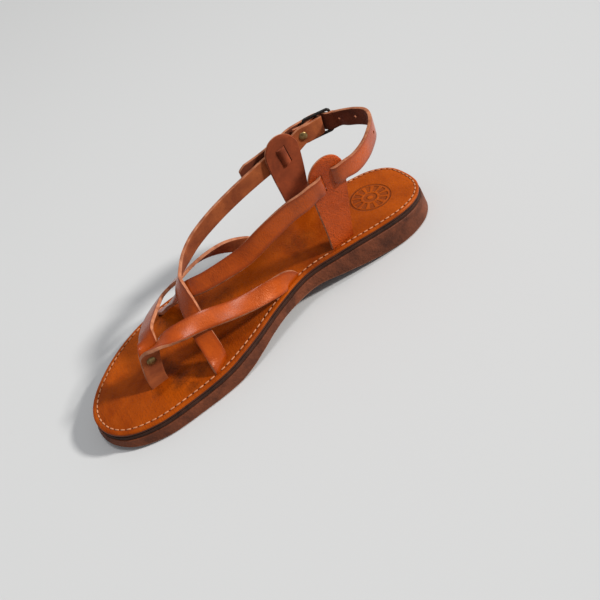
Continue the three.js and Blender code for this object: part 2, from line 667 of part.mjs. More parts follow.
function buckleFrame() {
  const long = BUCKLE_LENGTH / 2 - WIRE_BEVEL;
  const tall = FRAME_HALF_HEIGHT - WIRE_BEVEL;
  const shape = roundedBox(new THREE.Shape(), -long, long, -tall, tall, BUCKLE_CORNER);
  const inner = FRAME_HALF_HEIGHT - BUCKLE_WIRE + WIRE_BEVEL;
  const near = WIRE - WIRE_BEVEL;
  const far = BUCKLE_LENGTH / 2 - BUCKLE_WIRE + WIRE_BEVEL;
  const corner = BUCKLE_CORNER / 3;
  shape.holes.push(roundedBox(new THREE.Path(), near, far, -inner, inner, corner));
  shape.holes.push(roundedBox(new THREE.Path(), -far, -near, -inner, inner, corner));
  const depth = BUCKLE_WIRE - 2 * WIRE_BEVEL;
  const geometry = new THREE.ExtrudeGeometry(shape, {
    depth,
    bevelEnabled: true,
    bevelSize: WIRE_BEVEL,
    bevelThickness: WIRE_BEVEL,
    bevelSegments: 1,
    curveSegments: 4,
  });
  geometry.translate(0, 0, -depth / 2);
  geometry.applyMatrix4(buckleTurn);
  return solid(geometry);
}

function buckleProng(extra) {
  const radius = PRONG_RADIUS + extra;
  const hinge = WIRE * Math.SQRT2 - WIRE_BEVEL + METAL_GAP + PRONG_RADIUS;
  const rest = WIRE + METAL_GAP + PRONG_RADIUS;
  const round = new THREE.Shape();
  round.absarc(0, 0, radius, 0, 2 * Math.PI, false);
  const path = new THREE.CatmullRomCurve3([
    buckleAt(0, hinge),
    buckleAt(END_BAR * 0.5, hinge),
    buckleAt(END_BAR, rest),
    buckleAt(BUCKLE_LENGTH / 2 + extra, rest),
  ]);
  const arm = new THREE.ExtrudeGeometry(round, {
    steps: 10,
    curveSegments: 5,
    extrudePath: path,
    bevelEnabled: false,
  });
  const eye = new THREE.TorusGeometry(hinge, radius, 8, ROUND_STEPS);
  const turn = new THREE.Matrix4().makeBasis(buckleRun, buckleOut, buckleUp);
  turn.setPosition(buckleCentre);
  eye.applyMatrix4(turn);
  return solid(arm).add(solid(eye));
}

// Rivets: a shaft with a domed head at each end, turned about its own length.

function rivet(grip, at, way) {
  const half = grip / 2 + METAL_GAP;
  const dome = 3;
  const profile = [new THREE.Vector2(0, -half - RIVET_HEAD_HEIGHT)];
  for (let i = 1; i <= dome; i += 1) {
    const angle = (i / dome) * (Math.PI / 2);
    const reach = RIVET_HEAD_RADIUS * Math.sin(angle);
    profile.push(new THREE.Vector2(reach, -half - RIVET_HEAD_HEIGHT * Math.cos(angle)));
  }
  profile.push(new THREE.Vector2(RIVET_SHAFT_RADIUS, -half));
  const upperHalf = profile.slice().reverse();
  for (const point of upperHalf) profile.push(new THREE.Vector2(point.x, -point.y));
  const geometry = new THREE.LatheGeometry(profile, ROUND_STEPS);
  const turn = new THREE.Quaternion().setFromUnitVectors(new THREE.Vector3(0, 1, 0), way);
  geometry.applyMatrix4(new THREE.Matrix4().compose(at, turn, new THREE.Vector3(1, 1, 1)));
  return solid(geometry);
}

function rivetHole(grip, at, way) {
  const radius = RIVET_SHAFT_RADIUS + METAL_GAP;
  const geometry = new THREE.CylinderGeometry(radius, radius, grip * 2, ROUND_STEPS);
  const turn = new THREE.Quaternion().setFromUnitVectors(new THREE.Vector3(0, 1, 0), way);
  geometry.applyMatrix4(new THREE.Matrix4().compose(at, turn, new THREE.Vector3(1, 1, 1)));
  return solid(geometry);
}

const GRIP = 2 * STRAP_THICKNESS - PLY_OVERLAP;
const postA = place(STRAP_MEDIAL[3]);
const postB = place(STRAP_LATERAL[3]);
const postMiddle = postA.clone().add(postB).multiplyScalar(0.5);
const postLow = place(STRAP_MEDIAL[2]).add(place(STRAP_LATERAL[2])).multiplyScalar(0.5);
const postRivetAt = postMiddle.clone().lerp(postLow, POST_RIVET_DROP);
const postWay = new THREE.Vector3(1, 0, 0);
const loopRivetAt = buckleAt(-END_BAR * LOOP_RIVET_SHARE, -PASS - PLY_STEP / 2);

const rivetToePost = rivet(GRIP, postRivetAt, postWay);
const rivetLoop = rivet(GRIP, loopRivetAt, buckleOut);
upper = upper.subtract(rivetHole(GRIP, postRivetAt, postWay));
upper = upper.subtract(rivetHole(GRIP, loopRivetAt, buckleOut));
upper = upper.subtract(buckleProng(METAL_GAP));

// Colours, roughness and metalness of each piece

const BRASS = { color: 0x8a7440, roughness: 0.45, metalness: 0.9 };
const BLACK_METAL = { color: 0x17130f, roughness: 0.4, metalness: 0.6 };
const TAN = { color: 0xb4561c, roughness: 0.5, metalness: 0 };

const sandal = new THREE.Group();
sandal.name = "sandal";
sandal.add(toMesh(outsole, "outsole", { color: 0x5a3526, roughness: 0.8, metalness: 0 }));
sandal.add(toMesh(midsole, "midsole", { color: 0x2a1a12, roughness: 0.75, metalness: 0 }));
sandal.add(toMesh(insole, "insole", { color: 0xb5601f, roughness: 0.45, metalness: 0 }));
sandal.add(toMesh(upper, "upper", TAN));
sandal.add(toMesh(earMedial, "heel_ear_medial", TAN));
sandal.add(toMesh(earLateral, "heel_ear_lateral", TAN));
sandal.add(toMesh(buckleFrame(), "buckle_frame", BLACK_METAL));
sandal.add(toMesh(buckleProng(0), "buckle_prong", BLACK_METAL));
sandal.add(toMesh(rivetToePost, "rivet_toe_post", BRASS));
sandal.add(toMesh(rivetLoop, "rivet_buckle_loop", BRASS));

// The origin lies on the floor below the middle of the sandal.
const box = new THREE.Box3().setFromObject(sandal);
const middle = box.getCenter(new THREE.Vector3());
for (const piece of sandal.children) {
  piece.geometry.translate(-middle.x, -middle.y, -box.min.z);
}

export default sandal;
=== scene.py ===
# %% [markdown]
# A strappy leather sandal for the right foot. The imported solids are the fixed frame, and
# every piece here is a finer version of one of them: soft edges, stitches, holes and skin.
# The tables are in millimetres, and each mesh is scaled to metres where it is made.

import bisect
import math

import bpy
from mathutils import Matrix, Vector


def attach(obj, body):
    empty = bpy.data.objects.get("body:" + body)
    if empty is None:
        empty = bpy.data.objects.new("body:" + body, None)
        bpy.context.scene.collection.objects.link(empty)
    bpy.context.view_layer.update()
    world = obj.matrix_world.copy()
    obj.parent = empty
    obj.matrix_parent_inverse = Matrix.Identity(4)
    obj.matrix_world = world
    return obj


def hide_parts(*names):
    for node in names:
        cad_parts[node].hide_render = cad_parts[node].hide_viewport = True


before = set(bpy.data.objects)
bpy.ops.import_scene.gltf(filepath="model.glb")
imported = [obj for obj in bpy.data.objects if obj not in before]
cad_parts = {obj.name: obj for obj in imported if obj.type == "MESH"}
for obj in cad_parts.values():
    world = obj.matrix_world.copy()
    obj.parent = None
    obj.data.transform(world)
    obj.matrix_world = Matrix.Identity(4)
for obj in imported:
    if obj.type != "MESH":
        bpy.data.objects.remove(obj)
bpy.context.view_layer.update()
MM = 0.001
print("solids:", sorted(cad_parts))

# %% [markdown]
# Each strap follows a path. A row of a table is one section of the strap: the middle of
# its thickness (x, y, z) in millimetres and the way its grain side looks (fx, fy, fz).

# %% Paths of the straps
# y, z up the toe post, which two straps share.
TOE_POST = [(-84.48, 10.44), (-83.47, 18.95), (-80.97, 27.48), (-78.62, 34.31)]

STRAP_MEDIAL = [(16.2, y, z, -1, 0, 0) for y, z in TOE_POST] + [
    (17.31, -75.91, 38.34, -0.88, -0.21, 0.42), (19.47, -71.27, 40.67, -0.52, -0.36, 0.78),
    (20.64, -63.53, 41.05, 0, -0.36, 0.93), (21.99, -54.24, 40.12, 0.3, -0.3, 0.9),
    (24.69, -40.1, 38.77, 0.52, -0.21, 0.83), (27.84, -25.11, 35.27, 0.42, -0.1, 0.9),
    (29.73, -8.91, 32.19, 0.57, 0, 0.82), (29.19, 5.39, 29.21, 0.84, 0.11, 0.53),
    (26.67, 15.94, 25.53, 0.99, 0.1, 0.1), (24.96, 19.03, 19.72, 1, 0.1, 0),
]

STRAP_LATERAL = [(14.29, y, z, 1, 0, 0) for y, z in TOE_POST] + [
    (13.17, -76.43, 38.34, 0.88, -0.21, 0.42), (9.84, -74.23, 40.77, 0.51, -0.41, 0.76),
    (4.44, -72.3, 41.2, 0.15, -0.5, 0.85), (-3.66, -67.65, 40.26, 0, -0.51, 0.86),
    (-11.67, -60.28, 39.65, -0.3, -0.42, 0.85), (-18.66, -51.5, 39.03, -0.52, -0.36, 0.78),
    (-25.17, -37.83, 37.24, -0.45, -0.3, 0.84), (-27.78, -24.62, 38.03, -0.55, -0.1, 0.83),
    (-28.05, -12, 38.03, -0.69, 0, 0.73), (-28.05, 0.41, 34.88, -0.86, 0, 0.51),
    (-26.97, 10.55, 29.74, -0.95, 0, 0.3), (-25.17, 16.45, 25.08, -0.99, -0.1, 0.1),
    (-24.27, 18.52, 19.67, -1, -0.1, 0),
]

STRAP_OVER = [
    (38.2, -49.2, 11.65, 0.86, 0.5, 0), (38.6, -48.8, 15.4, 0.87, 0.45, 0.1),
    (36.6, -47.8, 19.4, 0.88, 0.2, 0.4), (32.8, -46.8, 24.9, 0.76, -0.1, 0.6),
    (26.3, -46, 32.2, 0.6, -0.25, 0.75), (21, -45, 37.2, 0.48, -0.25, 0.83),
    (15, -43.2, 42.8, 0.25, -0.5, 0.82), (5.16, -41.47, 45.66, 0, -0.65, 0.76),
    (-7.48, -38.6, 47.45, -0.35, -0.71, 0.61), (-15.36, -31.87, 49.39, -0.61, -0.61, 0.51),
    (-20.04, -23.87, 52.13, -0.85, -0.4, 0.35), (-24, -13.09, 55.38, -0.95, -0.2, 0.25),
    (-26.61, 4.53, 59.31, -0.99, -0.05, 0.15), (-27.87, 24.76, 62.53, -1, 0, 0.1),
    (-28.41, 42.2, 64.43, -1, 0, 0.05), (-28.02, 53.85, 65.92, -1, 0, -0.06),
    (-27.67, 59.96, 66.3, -1, 0, -0.06), (-24.23, 63.34, 66.76, -1, 0, -0.06),
    (-23.88, 64.43, 66.85, -1, 0, -0.06), (-24.23, 65.53, 66.89, -1, 0, -0.06),
    (-27.67, 68.94, 66.84, -1, 0, -0.06), (-28.02, 75.05, 67.19, -1, 0, -0.06),
    (-27.48, 82.67, 69.39, -0.98, 0.21, -0.01), (-26.62, 86.56, 69.12, -0.98, 0.21, -0.01),
    (-26.57, 91.88, 68.75, -0.98, 0.21, -0.01), (-26.42, 96.22, 68.44, -0.98, 0.21, -0.01),
    (-26.72, 97.89, 68.33, -0.84, -0.54, 0.04), (-28.11, 98.86, 68.26, -0.21, -0.97, 0.07),
    (-28.31, 98.9, 68.26, -0.21, -0.97, 0.07),
]

FOLDED_END = [
    (-28.01, 98.84, 68.26, -0.21, -0.97, 0.07), (-29.79, 98.56, 68.28, 0.54, -0.84, 0.06),
    (-30.76, 97.17, 68.38, 0.98, -0.21, 0.01), (-29.72, 92.57, 68.7, 0.83, -0.56, 0.04),
    (-28.48, 86.96, 69.09, 0.98, -0.21, 0.01), (-30.31, 78.63, 69.67, 0.98, -0.21, 0.01),
]

STRAP_HEEL = [
    (-38.4, -54.47, 11.51, -1, -0.1, 0), (-38.04, -54.29, 15.17, -0.98, -0.1, 0.15),
    (-29.67, -51.68, 20.87, -0.82, -0.26, 0.51), (-16.4, -45.75, 33.3, -0.6, -0.4, 0.7),
    (-2.85, -39.92, 44.29, -0.3, -0.6, 0.75), (3.45, -34.63, 47.63, 0, -0.6, 0.8),
    (9.55, -25.83, 49.74, 0.31, -0.47, 0.83), (15.38, -12.67, 52.64, 0.51, -0.3, 0.81),
    (20.01, 1.1, 55.66, 0.75, -0.16, 0.64), (25.41, 18.23, 63.3, 0.9, -0.05, 0.43),
    (30.09, 35.26, 69.47, 0.98, 0, 0.2), (33.06, 43.8, 71.48, 1, 0, 0.08),
    (33.84, 51.21, 73.09, 1, 0, -0.09), (33.49, 57.33, 73.25, 1, 0, -0.09),
    (29.21, 60.72, 73.69, 1, 0, -0.09), (28.86, 63.02, 73.77, 1, 0, -0.09),
    (29.21, 65.32, 73.79, 1, 0, -0.09), (33.49, 68.73, 73.47, 1, 0, -0.09),
    (33.84, 74.84, 73.57, 1, 0, -0.09), (32.16, 83.28, 71.85, 0.96, 0.28, 0),
    (27.39, 94.11, 71.19, 0.83, 0.56, 0), (21.09, 103.14, 71.28, 0.65, 0.76, 0),
    (12.54, 111.76, 71.32, 0.35, 0.94, 0), (3.54, 115.78, 72.18, 0, 1, 0),
    (-6.36, 114.49, 71.05, -0.3, 0.95, 0), (-15.81, 110.88, 69.4, -0.61, 0.79, 0),
    (-23.85, 107.98, 67.62, -0.98, 0.21, -0.01), (-24.4, 105.48, 67.8, -0.98, 0.21, -0.01),
    (-24.8, 104.21, 67.88, -0.92, 0.4, -0.03), (-27.07, 102.67, 67.99, -0.68, 0.73, -0.05),
    (-30.7, 101.03, 68.11, -0.73, 0.68, -0.05), (-33.2, 97.7, 68.34, -0.98, 0.21, -0.01),
    (-34.06, 88.19, 69.01, -0.98, 0.21, -0.01), (-33.09, 77.34, 70.4, -1, 0.05, 0),
    (-32.28, 65.73, 69.29, -1, 0, 0), (-32.01, 51.54, 68.3, -1, 0, 0),
    (-31.83, 35.03, 68.36, -1, 0, 0),
]

STRAP_WIDTH = 12.0
STRAP_THICKNESS = 2.0

# %% [markdown]
# The sole is one outline seen from above and one profile seen from the side, which gives
# the height of the insole's upper face and of the outsole's underside.

# %% Outline and profile of the sole
# x, y once round, from the tip of the toe along the medial side.
OUTLINE = [
    (11.64, -129.06), (24.24, -125.7), (34.59, -116.67), (42.42, -98.1),
    (44.76, -72.3), (44.58, -46.5), (39.72, -21.99), (32.61, 2.52),
    (28.11, 27.55), (31.53, 52.83), (34.95, 78.63), (35.22, 102.63),
    (29.64, 118.11), (19.29, 126.88), (4.89, 129.2), (-9.96, 126.62),
    (-19.23, 116.04), (-23.1, 97.98), (-24.63, 77.34), (-27.15, 52.83),
    (-29.76, 27.55), (-33.63, 2.52), (-39.93, -22.5), (-44.7, -46.5),
    (-44.16, -68.43), (-37.23, -90.36), (-25.71, -108.42), (-12.21, -121.32),
    (0.39, -127.77),
]

# y, height of the insole's upper face, height of the underside.
PROFILE = [
    (-134.22, 14.2, 4), (-121.32, 13.6, 2.2), (-108.42, 13.2, 0.8),
    (-92.94, 13.2, 0), (-72.3, 13.4, 0), (-46.5, 14.6, 0),
    (-33.6, 16, 1.6), (-23.28, 17.2, 4.4), (-10.38, 19, 7.8),
    (7.68, 21.2, 9.6), (28.32, 23, 9.2), (48.96, 23.8, 6.2),
    (64.44, 23.8, 3.6), (82.5, 22.8, 1.2), (95.4, 22, 0),
    (139.26, 18.8, 0),
]

INSOLE_THICKNESS = 3.0
MIDSOLE_THICKNESS = 2.4
LAYER_GAP = 0.3
ROUND = 288
FINE_STEPS = 1600

# %% [markdown]
# A centripetal Catmull-Rom curve goes through each row and doesn't overshoot, so it keeps
# every piece free of corners.

# %% A smooth curve through rows
NO_SPAN = 1e-4


def curve_point(points, share, closed=False):
    count = len(points)
    place = (count if closed else count - 1) * share
    i = min(int(place), count - 1 if closed else count - 2)
    w = place - i
    p1 = points[i]
    p2 = points[(i + 1) % count]
    if closed:
        p0, p3 = points[(i - 1) % count], points[(i + 2) % count]
    else:
        p0 = points[i - 1] if i > 0 else 2 * p1 - p2
        p3 = points[i + 2] if i + 2 < count else 2 * p2 - p1
    d0, d1, d2 = (math.sqrt((b - a).length) for a, b in ((p0, p1), (p1, p2), (p2, p3)))
    d1 = 1.0 if d1 < NO_SPAN else d1
    d0, d2 = (d1 if d < NO_SPAN else d for d in (d0, d2))
    m1 = ((p1 - p0) / d0 - (p2 - p0) / (d0 + d1) + (p2 - p1) / d1) * d1
    m2 = ((p2 - p1) / d1 - (p3 - p1) / (d1 + d2) + (p3 - p2) / d2) * d1
    c2 = 3 * (p2 - p1) - 2 * m1 - m2
    c3 = 2 * (p1 - p2) + m1 + m2
    return p1 + m1 * w + c2 * w * w + c3 * w * w * w


def even_points(points, count):
    fine = [curve_point(points, k / FINE_STEPS, True) for k in range(FINE_STEPS + 1)]
    reach = [0.0]
    for a, b in zip(fine, fine[1:]):
        reach.append(reach[-1] + (b - a).length)
    out = []
    j = 0
    for k in range(count):
        goal = reach[-1] * k / count
        while j < FINE_STEPS - 1 and reach[j + 1] < goal:
            j += 1
        w = (goal - reach[j]) / max(reach[j + 1] - reach[j], 1e-9)
        out.append(fine[j].lerp(fine[j + 1], w))
    return out, reach[-1]


rim_points, rim_length = even_points([Vector((x, y, 0)) for x, y in OUTLINE], ROUND)
print("rim of the insole:", round(rim_length), "mm")


# %% Heights along the sole
def slope_at(a, b, c, column):
    left = (b[column] - a[column]) / max(b[0] - a[0], 1e-6)
    right = (c[column] - b[column]) / max(c[0] - b[0], 1e-6)
    return 0 if left * right <= 0 else 2 * left * right / (left + right)


def height_at(y, column):
    last = len(PROFILE) - 1
    y = max(PROFILE[0][0], min(PROFILE[last][0], y))
    i = 0
    while PROFILE[i + 1][0] < y:
        i += 1
    a, b = PROFILE[i], PROFILE[i + 1]
    span = b[0] - a[0]
    t = (y - a[0]) / span
    rise_a = slope_at(PROFILE[max(i - 1, 0)], a, b, column)
    rise_b = slope_at(a, b, PROFILE[min(i + 2, last)], column)
    smooth = t * t * (3 - 2 * t)
    bend = t * (1 - t) * span * ((1 - t) * rise_a - t * rise_b)
    return a[column] + (b[column] - a[column]) * smooth + bend


def surface(column, drop=0.0):
    return lambda y: height_at(y, column) - drop


insole_top, underside = surface(1), surface(2)
insole_base = surface(1, INSOLE_THICKNESS)
midsole_top = surface(1, INSOLE_THICKNESS + LAYER_GAP)
midsole_base = surface(1, INSOLE_THICKNESS + LAYER_GAP + MIDSOLE_THICKNESS)
outsole_top = surface(1, INSOLE_THICKNESS + MIDSOLE_THICKNESS + 2 * LAYER_GAP)


def rim_at(step, out):
    here = rim_points[step % ROUND]
    run = rim_points[(step + 1) % ROUND] - rim_points[(step - 1) % ROUND]
    run.normalize()
    return Vector((here.x + run.y * out, here.y - run.x * out, 0))


print("height at the heel:", round(insole_top(100), 1), "mm")

# %% [markdown]
# Leather is never one colour. Effects that several finishes share are shader node groups,
# built once and placed in each material with its own values.

# %% Helpers for shader nodes
VECTOR, FLOAT, COLOUR = "NodeSocketVector", "NodeSocketFloat", "NodeSocketColor"


def new_group(name, inputs, outputs):
    group = bpy.data.node_groups.new(name, "ShaderNodeTree")
    for label, kind, value in inputs:
        socket = group.interface.new_socket(label, in_out="INPUT", socket_type=kind)
        if value is not None:
            socket.default_value = value
    for label, kind in outputs:
        group.interface.new_socket(label, in_out="OUTPUT", socket_type=kind)
    start = group.nodes.new("NodeGroupInput")
    end = group.nodes.new("NodeGroupOutput")
    return group, start, end


def plug(tree, node, links):
    for socket, source in links.items():
        if hasattr(source, "is_output"):
            tree.links.new(source, node.inputs[socket])
        else:
            node.inputs[socket].default_value = source
    return node


def add(tree, kind, links=None, **values):
    node = tree.nodes.new("ShaderNode" + kind)
    for key, value in values.items():
        setattr(node, key, value)
    return plug(tree, node, links or {})


def ramp(tree, source, stops):
    node = add(tree, "ValToRGB", {"Fac": source})
    points = node.color_ramp.elements
    while len(points) < len(stops):
        points.new(0.5)
    for point, (place, value) in zip(points, stops):
        point.position = place
        point.color = (value, value, value, 1)
    return node.outputs["Color"]


def calc(tree, operation, a, b=0.0, c=0.0):
    return add(tree, "Math", {0: a, 1: b, 2: c}, operation=operation).outputs[0]


def mix_colour(tree, factor, a, b):
    node = add(tree, "Mix", data_type="RGBA")
    return plug(tree, node, {0: factor, 6: a, 7: b}).outputs[2]


def noise(tree, vector, scale, detail=3.0, rough=0.5, warp=0.0):
    links = {"Vector": vector, "Scale": scale, "Detail": detail, "Roughness": rough,
             "Distortion": warp}
    return add(tree, "TexNoise", links).outputs["Fac"]


# %% [markdown]
# Grain leather has fine pebbles and pores. A Voronoi pattern gives the pebbles, and a
# noise lets them grow faint in places, as where the skin was rubbed smooth.

# %% Group: leather grain
def make_grain():
    inputs = [("Vector", VECTOR, None), ("Scale", FLOAT, 900.0)]
    group, start, end = new_group("leather_grain", inputs, [("Height", FLOAT)])
    vector, scale = start.outputs["Vector"], start.outputs["Scale"]
    cell = add(group, "TexVoronoi", {"Vector": vector, "Scale": scale}, feature="SMOOTH_F1")
    fine = noise(group, vector, calc(group, "MULTIPLY", scale, 2.5), 2.0)
    patch = noise(group, vector, 60.0, 1.0)
    pebbles = calc(group, "MULTIPLY", cell.outputs["Distance"], patch)
    height = calc(group, "MULTIPLY_ADD", fine, 0.35, pebbles)
    group.links.new(height, end.inputs["Height"])
    return group


grain_group = make_grain()
print("group:", grain_group.name)

# %% [markdown]
# Hand-rubbed dye is cloudy: broad darker clouds, and small specks where it soaked in.
# The group mixes a light and a deep tone by two noises of different size.

# %% Group: cloudy dye
def make_dye():
    inputs = [("Vector", VECTOR, None), ("Light", COLOUR, None), ("Deep", COLOUR, None),
              ("Cloud Scale", FLOAT, 40.0), ("Amount", FLOAT, 1.0)]
    group, start, end = new_group("cloudy_dye", inputs, [("Color", COLOUR)])
    vector = start.outputs["Vector"]
    cloud = ramp(group, noise(group, vector, start.outputs["Cloud Scale"], 4.0, 0.6, 0.4),
                 [(0.35, 0.0), (0.68, 1.0)])
    speck = ramp(group, noise(group, vector, 700.0, 2.0, 0.7), [(0.5, 0.0), (0.75, 0.6)])
    mask = calc(group, "MULTIPLY", calc(group, "MAXIMUM", cloud, speck), start.outputs["Amount"])
    colour = mix_colour(group, mask, start.outputs["Light"], start.outputs["Deep"])
    group.links.new(colour, end.inputs["Color"])
    return group


dye_group = make_dye()
print("group:", dye_group.name)

# %% [markdown]
# Dust and rubbing show as a paler film. This group gives a soft, broken mask for them.

# %% Group: rubbed film
def make_film():
    inputs = [("Vector", VECTOR, None), ("Amount", FLOAT, 0.3)]
    group, start, end = new_group("rubbed_film", inputs, [("Mask", FLOAT)])
    vector = start.outputs["Vector"]
    broad = ramp(group, noise(group, vector, 90.0, 5.0, 0.65), [(0.45, 0.0), (0.72, 1.0)])
    fine = ramp(group, noise(group, vector, 1400.0, 2.0), [(0.3, 0.4), (0.7, 1.0)])
    mask = calc(group, "MULTIPLY", calc(group, "MULTIPLY", broad, fine), start.outputs["Amount"])
    group.links.new(mask, end.inputs["Mask"])
    return group


film_group = make_film()
print("group:", film_group.name)

# %% Helpers for materials
OILED = 0.2


def start_material(name, **values):
    material = bpy.data.materials.new(name)
    material.use_nodes = True
    tree = material.node_tree
    shader = tree.nodes["Principled BSDF"]
    shader.inputs["Specular IOR Level"].default_value = OILED
    for key, value in values.items():
        shader.inputs[key.replace("_", " ")].default_value = value
    where = add(tree, "TexCoord").outputs["Object"]
    return material, tree, shader, where


def use_group(tree, group, links):
    return add(tree, "Group", links, node_tree=group)


def bump(tree, shader, height, distance, strength=1.0, before=None):
    links = {"Height": height, "Distance": distance, "Strength": strength}
    if before is not None:
        links["Normal"] = before
    node = add(tree, "Bump", links)
    tree.links.new(node.outputs["Normal"], shader.inputs["Normal"])
    return node.outputs["Normal"]


def spread(tree, source, low, high):
    node = add(tree, "MapRange", {"Value": source, "To Min": low, "To Max": high})
    return node.outputs["Result"]


def rgb(red, green, blue):
    return (red, green, blue, 1.0)


def dyed_material(name, light, deep, clouds, amount=1.0, **values):
    material, tree, shader, where = start_material(name, **values)
    dye = use_group(tree, dye_group, {"Vector": where, "Light": light, "Deep": deep,
                                      "Cloud Scale": clouds, "Amount": amount})
    tree.links.new(dye.outputs["Color"], shader.inputs["Base Color"])
    return material, tree, shader, where, dye.outputs["Color"]


# %% [markdown]
# The grain side of the straps is dyed orange tan and polished, so it carries a thin coat
# that shines in the light. The dye is cloudy, and the polish breaks up in fine wear.

# %% Material: grain leather
def edge_mask(tree):
    flat = add(tree, "UVMap").outputs["UV"]
    across = add(tree, "SeparateXYZ", {"Vector": flat})
    middle = calc(tree, "SUBTRACT", across.outputs["X"], 0.5)
    return ramp(tree, calc(tree, "ABSOLUTE", middle), [(0.30, 0.0), (0.47, 0.75)])


FILM = 0.25
RUBBED_GAIN = 1.25
RUBBED_LIFT = (0.03, 0.018, 0.004)


def leather_material(name, light, deep, rough, coat, grain_depth, amount=0.8, edged=False):
    material, tree, shader, where, dye = dyed_material(
        name, light, deep, 40.0, amount, Coat_Roughness=0.22, Specular_IOR_Level=0.3,
        Specular_Tint=rgb(1.0, 0.5, 0.25))
    rubbed = use_group(tree, film_group, {"Vector": where, "Amount": FILM}).outputs["Mask"]
    pale = rgb(*(c * RUBBED_GAIN + lift for c, lift in zip(light, RUBBED_LIFT)))
    colour = mix_colour(tree, rubbed, dye, pale)
    if edged:
        colour = mix_colour(tree, edge_mask(tree), colour, deep)
    patch = noise(tree, where, 120.0, 3.0)
    plug(tree, shader, {"Base Color": colour,
                        "Roughness": spread(tree, patch, rough - 0.08, rough + 0.12),
                        "Coat Weight": spread(tree, patch, coat, coat * 0.3)})
    grain = use_group(tree, grain_group, {"Vector": where, "Scale": 1100.0})
    height = calc(tree, "MULTIPLY_ADD", noise(tree, where, 150.0, 2.0), 0.8,
                  grain.outputs["Height"])
    bump(tree, shader, height, grain_depth)
    return material


strap_grain = leather_material(
    "strap_grain", rgb(0.42, 0.063, 0.002), rgb(0.20, 0.024, 0.001), 0.30, 0.6, 0.0003,
    edged=True)
ear_grain = leather_material(
    "ear_grain", rgb(0.46, 0.066, 0.007), rgb(0.24, 0.028, 0.004), 0.42, 0.15, 0.0009, 0.9)
print("materials:", strap_grain.name, ear_grain.name)

# %% [markdown]
# The flesh side is what was inside the skin: brown, matt and slightly furry. Its fibres
# are a fine warped noise, and it has sheen in place of gloss. On the strap round the heel
# it is painted much darker, as painted shade on the inner face, which lies in shadow.

# %% Material: flesh side
def flesh_material(name, light, deep):
    material, tree, shader, where, _ = dyed_material(
        name, light, deep, 70.0, Roughness=0.85, Sheen_Weight=0.05, Sheen_Roughness=0.5)
    bump(tree, shader, noise(tree, where, 1500.0, 3.0, 0.7, 0.3), 0.0002, 0.8)
    return material


strap_flesh = flesh_material("strap_flesh", rgb(0.38, 0.100, 0.026), rgb(0.20, 0.044, 0.012))
# Painted shade: the heel strap's flesh side is made much darker for the shadow it lies in.
heel_flesh_painted_shade = flesh_material("heel_flesh_painted_shade", rgb(0.15, 0.030, 0.009), rgb(0.07, 0.014, 0.004))
ear_flesh = flesh_material("ear_flesh", rgb(0.27, 0.052, 0.014), rgb(0.14, 0.026, 0.007))
print("materials:", strap_flesh.name, ear_flesh.name)

# %% [markdown]
# A cut edge shows the fibres between grain and flesh. It is paler than the grain side on
# the straps. Inside the slits the faces are painted nearly black, as painted shade in the
# narrow cut.

# %% Materials: cut edges, slits and sole layers
def plain_material(name, light, deep, rough, depth=0.00025, scale=1200.0, clouds=160.0):
    material, tree, shader, where, _ = dyed_material(name, light, deep, clouds, Roughness=rough)
    bump(tree, shader, noise(tree, where, scale, 3.0, 0.6), depth)
    return material


# The nearly black slit colour is painted shade for the inside of cuts and needle holes.
strap_edge, slit_painted_shade, rim_brown, midsole_skin, outsole_skin, outsole_edge_highlight, thread_skin = (
    plain_material(name, rgb(*light), rgb(*deep), *more) for name, light, deep, *more in (
        ("strap_edge", (0.50, 0.20, 0.10), (0.24, 0.07, 0.03), 0.6),
        ("slit_painted_shade", (0.035, 0.014, 0.008), (0.012, 0.006, 0.004), 0.8),
        ("insole_rim", (0.075, 0.019, 0.008), (0.032, 0.010, 0.005), 0.6),
        ("midsole_skin", (0.050, 0.018, 0.010), (0.020, 0.009, 0.006), 0.75),
        ("outsole_skin", (0.175, 0.047, 0.018), (0.062, 0.017, 0.007), 0.62, 0.0006, 420.0, 60.0),
        ("outsole_edge_highlight", (0.30, 0.115, 0.065), (0.14, 0.045, 0.022), 0.7, 0.0004, 420.0, 90.0),
        ("thread_skin", (0.62, 0.28, 0.14), (0.40, 0.15, 0.065), 0.7, 0.0001, 3000.0, 300.0),
    ))
print("materials:", strap_edge.name, rim_brown.name, outsole_skin.name)

# %% [markdown]
# The buckle is dark metal with worn corners, and the rivets are brass gone dull and
# brown. Noise on roughness keeps the metal from looking new.

# %% Materials: metal
def metal_material(name, light, deep, rough, metallic):
    material, tree, shader, where, _ = dyed_material(name, light, deep, 400.0, Metallic=metallic)
    patch = noise(tree, where, 600.0, 3.0)
    tree.links.new(spread(tree, patch, rough - 0.1, rough + 0.15), shader.inputs["Roughness"])
    bump(tree, shader, patch, 0.00008)
    return material


buckle_metal = metal_material("buckle_metal", rgb(0.035, 0.03, 0.028), rgb(0.012, 0.01, 0.01),
                              0.35, 0.7)
rivet_brass = metal_material("rivet_brass", rgb(0.34, 0.24, 0.10), rgb(0.12, 0.075, 0.03),
                             0.42, 0.9)
print("materials:", buckle_metal.name, rivet_brass.name)

# %% [markdown]
# The insole is the largest face of the sandal. Besides the clouds of dye it has brown
# stains round the front slits, painted shade in front of the medial ear and across the
# middle where the straps shade it, fine cross wrinkles under the toes, and a round stamp at
# the heel: plain rings and petals, pressed into the leather.

# %% Masks for the insole
STAMP_AT = (6.0, 97.0)
STAMP_RADIUS = 14.5
# x, y, radius, weight. The first six are stains round the front slits; the last three are painted
# shade in front of the medial ear and across the middle, where the ear and straps shade the
# insole.
STAINS_AND_SHADE = [(25.0, -73.0, 9.0, 0.7), (37.0, -70.0, 6.0, 0.5), (30.0, -60.0, 8.0, 0.6),
          (21.0, -88.0, 6.0, 0.4), (12.0, -74.0, 8.0, 0.6), (-30.0, -60.0, 9.0, 0.5),
          (22.0, 50.0, 10.0, 0.6), (2.0, 40.0, 16.0, 0.35), (-6.0, -20.0, 16.0, 0.35)]


